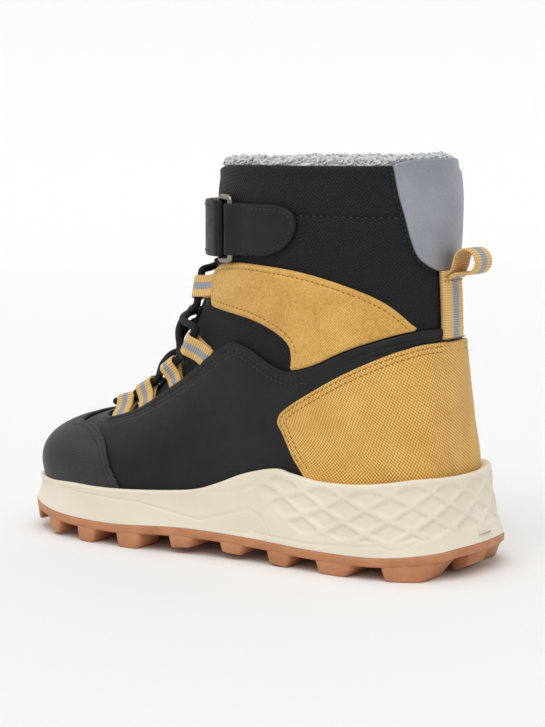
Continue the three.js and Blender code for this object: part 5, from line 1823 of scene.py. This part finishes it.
def lug_mesh(place, y_low, y_high):
    """One lug: a rounded block that narrows to the ground, its rear face sloped more than its front.

    place gives x from a share of the depth, -1 to 1, and y.
    """
    sides, power = 28, 2 / 7
    turn = np.linspace(0, 2 * np.pi, sides, endpoint=False)
    u = np.sign(np.cos(turn)) * np.abs(np.cos(turn)) ** power
    w = np.sign(np.sin(turn)) * np.abs(np.sin(turn)) ** power
    length = y_high - y_low
    middle = (y_low + y_high) / 2
    levels = []
    for depth, size in (
        (0.0, 1.0), (0.45, 0.985), (0.9, 0.97), (0.97, 0.94), (1.0, 0.88), (1.0, 0.4), (1.0, 0.01),
    ):
        rear, front = 0.22 * length * depth, 0.08 * length * depth
        start, end = y_low + rear, y_high - front
        y = (start + end) / 2 + u * size * (end - start) / 2
        x = place(w * size * (1 - 0.07 * depth), y)
        plate = height_on(MIDSOLE_BOTTOM, y) - PLATE + 0.3
        ground = np.maximum(0, height_on(GROUND, np.clip(y, y_low, y_high)))
        levels.append(np.column_stack([x, y, plate + (ground - plate) * depth]))
    points = np.concatenate(levels)
    faces = triangles(grid_faces(len(levels), sides, wrap_columns=True))
    top = np.arange(sides)
    centre = np.array([[place(np.zeros(1), np.array([middle]))[0], middle, levels[0][:, 2].mean()]])
    points = np.concatenate([points, centre])
    cap = np.stack([np.full(sides, len(points) - 1), (top + 1) % sides, top], 1)
    faces = np.concatenate([faces, cap])
    return points, faces, np.zeros((len(points), 2))


def make_outsole():
    """The rubber outsole: a thin plate with a row of lugs down each edge and one down the middle."""
    ring, inward, spine, _ = sole_ring(1.0)
    y0 = ring[:, 1]
    high = height_on(MIDSOLE_BOTTOM, y0)
    low = high - PLATE - GAP
    levels = [np.column_stack([spine, low])]
    for inset, share in (
        (8.0, 0.0), (0.6, 0.0), (0.12, 0.12), (0.0, 0.4), (-0.1, 0.8), (0.1, 1.0), (1.2, 1.04), (8.0, 1.0),
    ):
        xy = ring + inset * inward
        levels.append(np.column_stack([xy, low + (high - low) * share]))
    levels.append(np.column_stack([spine, high]))
    plate_points = np.concatenate(levels)
    plate_faces = grid_faces(len(levels), len(ring), wrap_columns=True)
    parts = [(plate_points, plate_faces, np.zeros((len(plate_points), 2)))]
    edge = spline(SOLE, np.linspace(0, len(SOLE) - 1, 1200))
    for y_low, y_high in EDGE_LUGS:
        for column, sign in ((1, -1), (2, 1)):

            def place(share, y, column=column, sign=sign):
                x = sign * np.interp(y, edge[:, 0], edge[:, column])
                depth = np.minimum(17, np.abs(x) - 4)
                return x - sign * (0.1 + depth * (1 - share * sign) / 2)

            parts.append(lug_mesh(place, y_low, y_high))
    for y_low, y_high in MIDDLE_LUGS:
        shift = -4 if y_low > 180 else 0
        parts.append(lug_mesh(lambda share, y, shift=shift: shift + 8 * share, y_low, y_high))
    points, faces, _ = join(parts)
    piece = build_mesh("gum_outsole", points, faces, None, "boot", ("outsole",), "gum_rubber", "gum")
    orient(tidy(piece))


def finish_hidden():
    """The boards and stiffeners inside keep their CAD shapes and get their own finish."""
    for name in ("shank", "insole_board", "heel_stiffener", "toe_puff"):
        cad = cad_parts[name]
        cad.data.materials.clear()
        cad.data.materials.append(finish("board"))


# ---- stage, in metres ----
CAMERA_PLACE = (-0.664207, -0.453993, 0.167279)
CAMERA_WAY = (0.8234, 0.5554, -0.1163)


def make_stage():
    """A pale floor that curves up into a backdrop, soft lights and the camera."""
    looks = bpy.context.scene.boot_looks
    forward = np.array(CAMERA_WAY[:2])
    forward = forward / np.linalg.norm(forward)
    side = np.array([forward[1], -forward[0]])
    turn = np.linspace(0, np.pi / 2, 24)
    run = np.concatenate([[-3.0, 0.0, 1.2], 1.6 + 0.9 * np.sin(turn), [2.5]])
    rise = np.concatenate([[0, 0, 0], 0.9 * (1 - np.cos(turn)), [3.2]])
    width = np.array([-4.0, 0, 4.0])
    xy = run[:, None, None] * forward + width[None, :, None] * side
    points = np.concatenate([xy, np.broadcast_to(rise[:, None, None], (len(run), 3, 1))], -1).reshape(-1, 3)
    made = bpy.data.meshes.new("floor")
    made.from_pydata(points.tolist(), [], grid_faces(len(run), 3)[:, ::-1].tolist())
    made.polygons.foreach_set("use_smooth", np.ones(len(made.polygons), bool))
    made.materials.append(finish("paper"))
    floor = bpy.data.objects.new("floor", made)
    bpy.context.scene.collection.objects.link(floor)
    for name, source, strength, angle in (
        ("key_light", (-0.45, -0.14, 0.88), looks.key_strength, 0.9),
        ("fill_light", (0.1, 0.8, 0.6), looks.fill_strength, 1.2),
    ):
        lamp = bpy.data.lights.new(name, "SUN")
        lamp.angle = angle
        lamp.energy = strength
        lamp_object = bpy.data.objects.new(name, lamp)
        lamp_object.location = source
        lamp_object.rotation_euler = (-Vector(source)).to_track_quat("-Z", "Y").to_euler()
        bpy.context.scene.collection.objects.link(lamp_object)
    world = bpy.data.worlds.new("studio")
    world.use_nodes = True
    sky = world.node_tree.nodes["Background"]
    sky.inputs[0].default_value = linear("#ffffff")
    sky.inputs[1].default_value = looks.sky_strength
    bpy.context.scene.world = world
    bpy.context.scene.view_settings.view_transform = "Standard"

    lens = bpy.data.cameras.new("camera")
    lens.lens = looks.lens
    camera = bpy.data.objects.new("camera", lens)
    camera.location = CAMERA_PLACE
    camera.rotation_euler = Vector(CAMERA_WAY).to_track_quat("-Z", "Y").to_euler()
    bpy.context.scene.collection.objects.link(camera)
    bpy.context.scene.camera = camera


# ---- add-on ----
class BootLooks(bpy.types.PropertyGroup):
    """The camera's lens and the strengths of the lights, which may change before building."""

    lens: bpy.props.FloatProperty(
        name="Lens", description="Focal length of the camera", default=98.79, unit="CAMERA"
    )
    key_strength: bpy.props.FloatProperty(
        name="Key light", description="Strength of the main soft light", default=1.35, unit="NONE"
    )
    fill_strength: bpy.props.FloatProperty(
        name="Fill light", description="Strength of the light on the toe", default=0.25, unit="NONE"
    )
    sky_strength: bpy.props.FloatProperty(
        name="Sky", description="Strength of the even light all round", default=0.6, unit="NONE"
    )


def operator(name, label, words, *makers):
    """An operator class that builds one group of pieces."""

    def execute(self, context):
        for maker in makers:
            maker()
        return {"FINISHED"}

    members = {"bl_idname": f"boot.{name}", "bl_label": label, "__doc__": words, "execute": execute}
    return type(f"BOOT_OT_{name}", (bpy.types.Operator,), members)


OPERATORS = [
    operator("stage", "Stage", "Makes the floor, lights and camera", make_stage),
    operator("outsole", "Outsole", "Builds the lugged rubber outsole", make_outsole),
    operator("midsole", "Midsole", "Builds the foam midsole", make_midsole),
    operator("boards", "Boards", "Finishes the hidden boards", finish_hidden),
    operator("footbed", "Footbed", "Builds the footbed", make_footbed),
    operator("lining", "Lining", "Builds the fleece lining and its curls", make_lining, make_curls),
    operator("shaft", "Shaft", "Builds the textile shaft", make_shaft),
    operator("vamp", "Vamp", "Builds the textile vamp", make_vamp),
    operator("tongue", "Tongue", "Builds the tongue and its tab", make_tongue, make_keeper),
    operator("quarters", "Quarters", "Builds the two quarters", make_quarters),
    operator("ankle", "Ankle overlays", "Builds the canvas ankle overlays", make_ankle_overlays),
    operator("toe", "Toe cap", "Builds the toe cap", make_toe_cap),
    operator("counter", "Heel counter", "Builds the canvas heel counter", make_counter),
    operator("patch", "Collar patch", "Builds the reflective collar patch", make_patch),
    operator("webbing", "Heel webbing", "Builds the heel strip and pull loop", make_heel_webbing,
             make_pull_loop),
    operator("lace", "Lace", "Builds the lace and its loops", make_lace_loops, make_lace),
    operator("ring", "Ring", "Builds the ring and its tab", make_ring, make_ring_tab),
    operator("straps", "Straps", "Builds the closing strap and its tapes", make_straps),
]


class BOOT_PT_panel(bpy.types.Panel):
    """Lists the boot's operators and settings."""

    bl_label = "Winter boot"
    bl_idname = "BOOT_PT_panel"
    bl_space_type = "VIEW_3D"
    bl_region_type = "UI"
    bl_category = "Boot"

    def draw(self, context):
        for made in OPERATORS:
            self.layout.operator(made.bl_idname)
        for name in ("lens", "key_strength", "fill_strength", "sky_strength"):
            self.layout.prop(context.scene.boot_looks, name)


def register():
    """Registers the add-on's classes and settings."""
    for made in (BootLooks, *OPERATORS, BOOT_PT_panel):
        bpy.utils.register_class(made)
    bpy.types.Scene.boot_looks = bpy.props.PointerProperty(type=BootLooks)


def unregister():
    """Takes the add-on's classes and settings away."""
    del bpy.types.Scene.boot_looks
    for made in (BOOT_PT_panel, *OPERATORS[::-1], BootLooks):
        bpy.utils.unregister_class(made)


def main():
    """Builds every piece in order and writes the two boxes."""
    register()
    for made in OPERATORS:
        getattr(bpy.ops.boot, made.bl_idname.split(".")[1])()


if __name__ == "__main__":
    main()
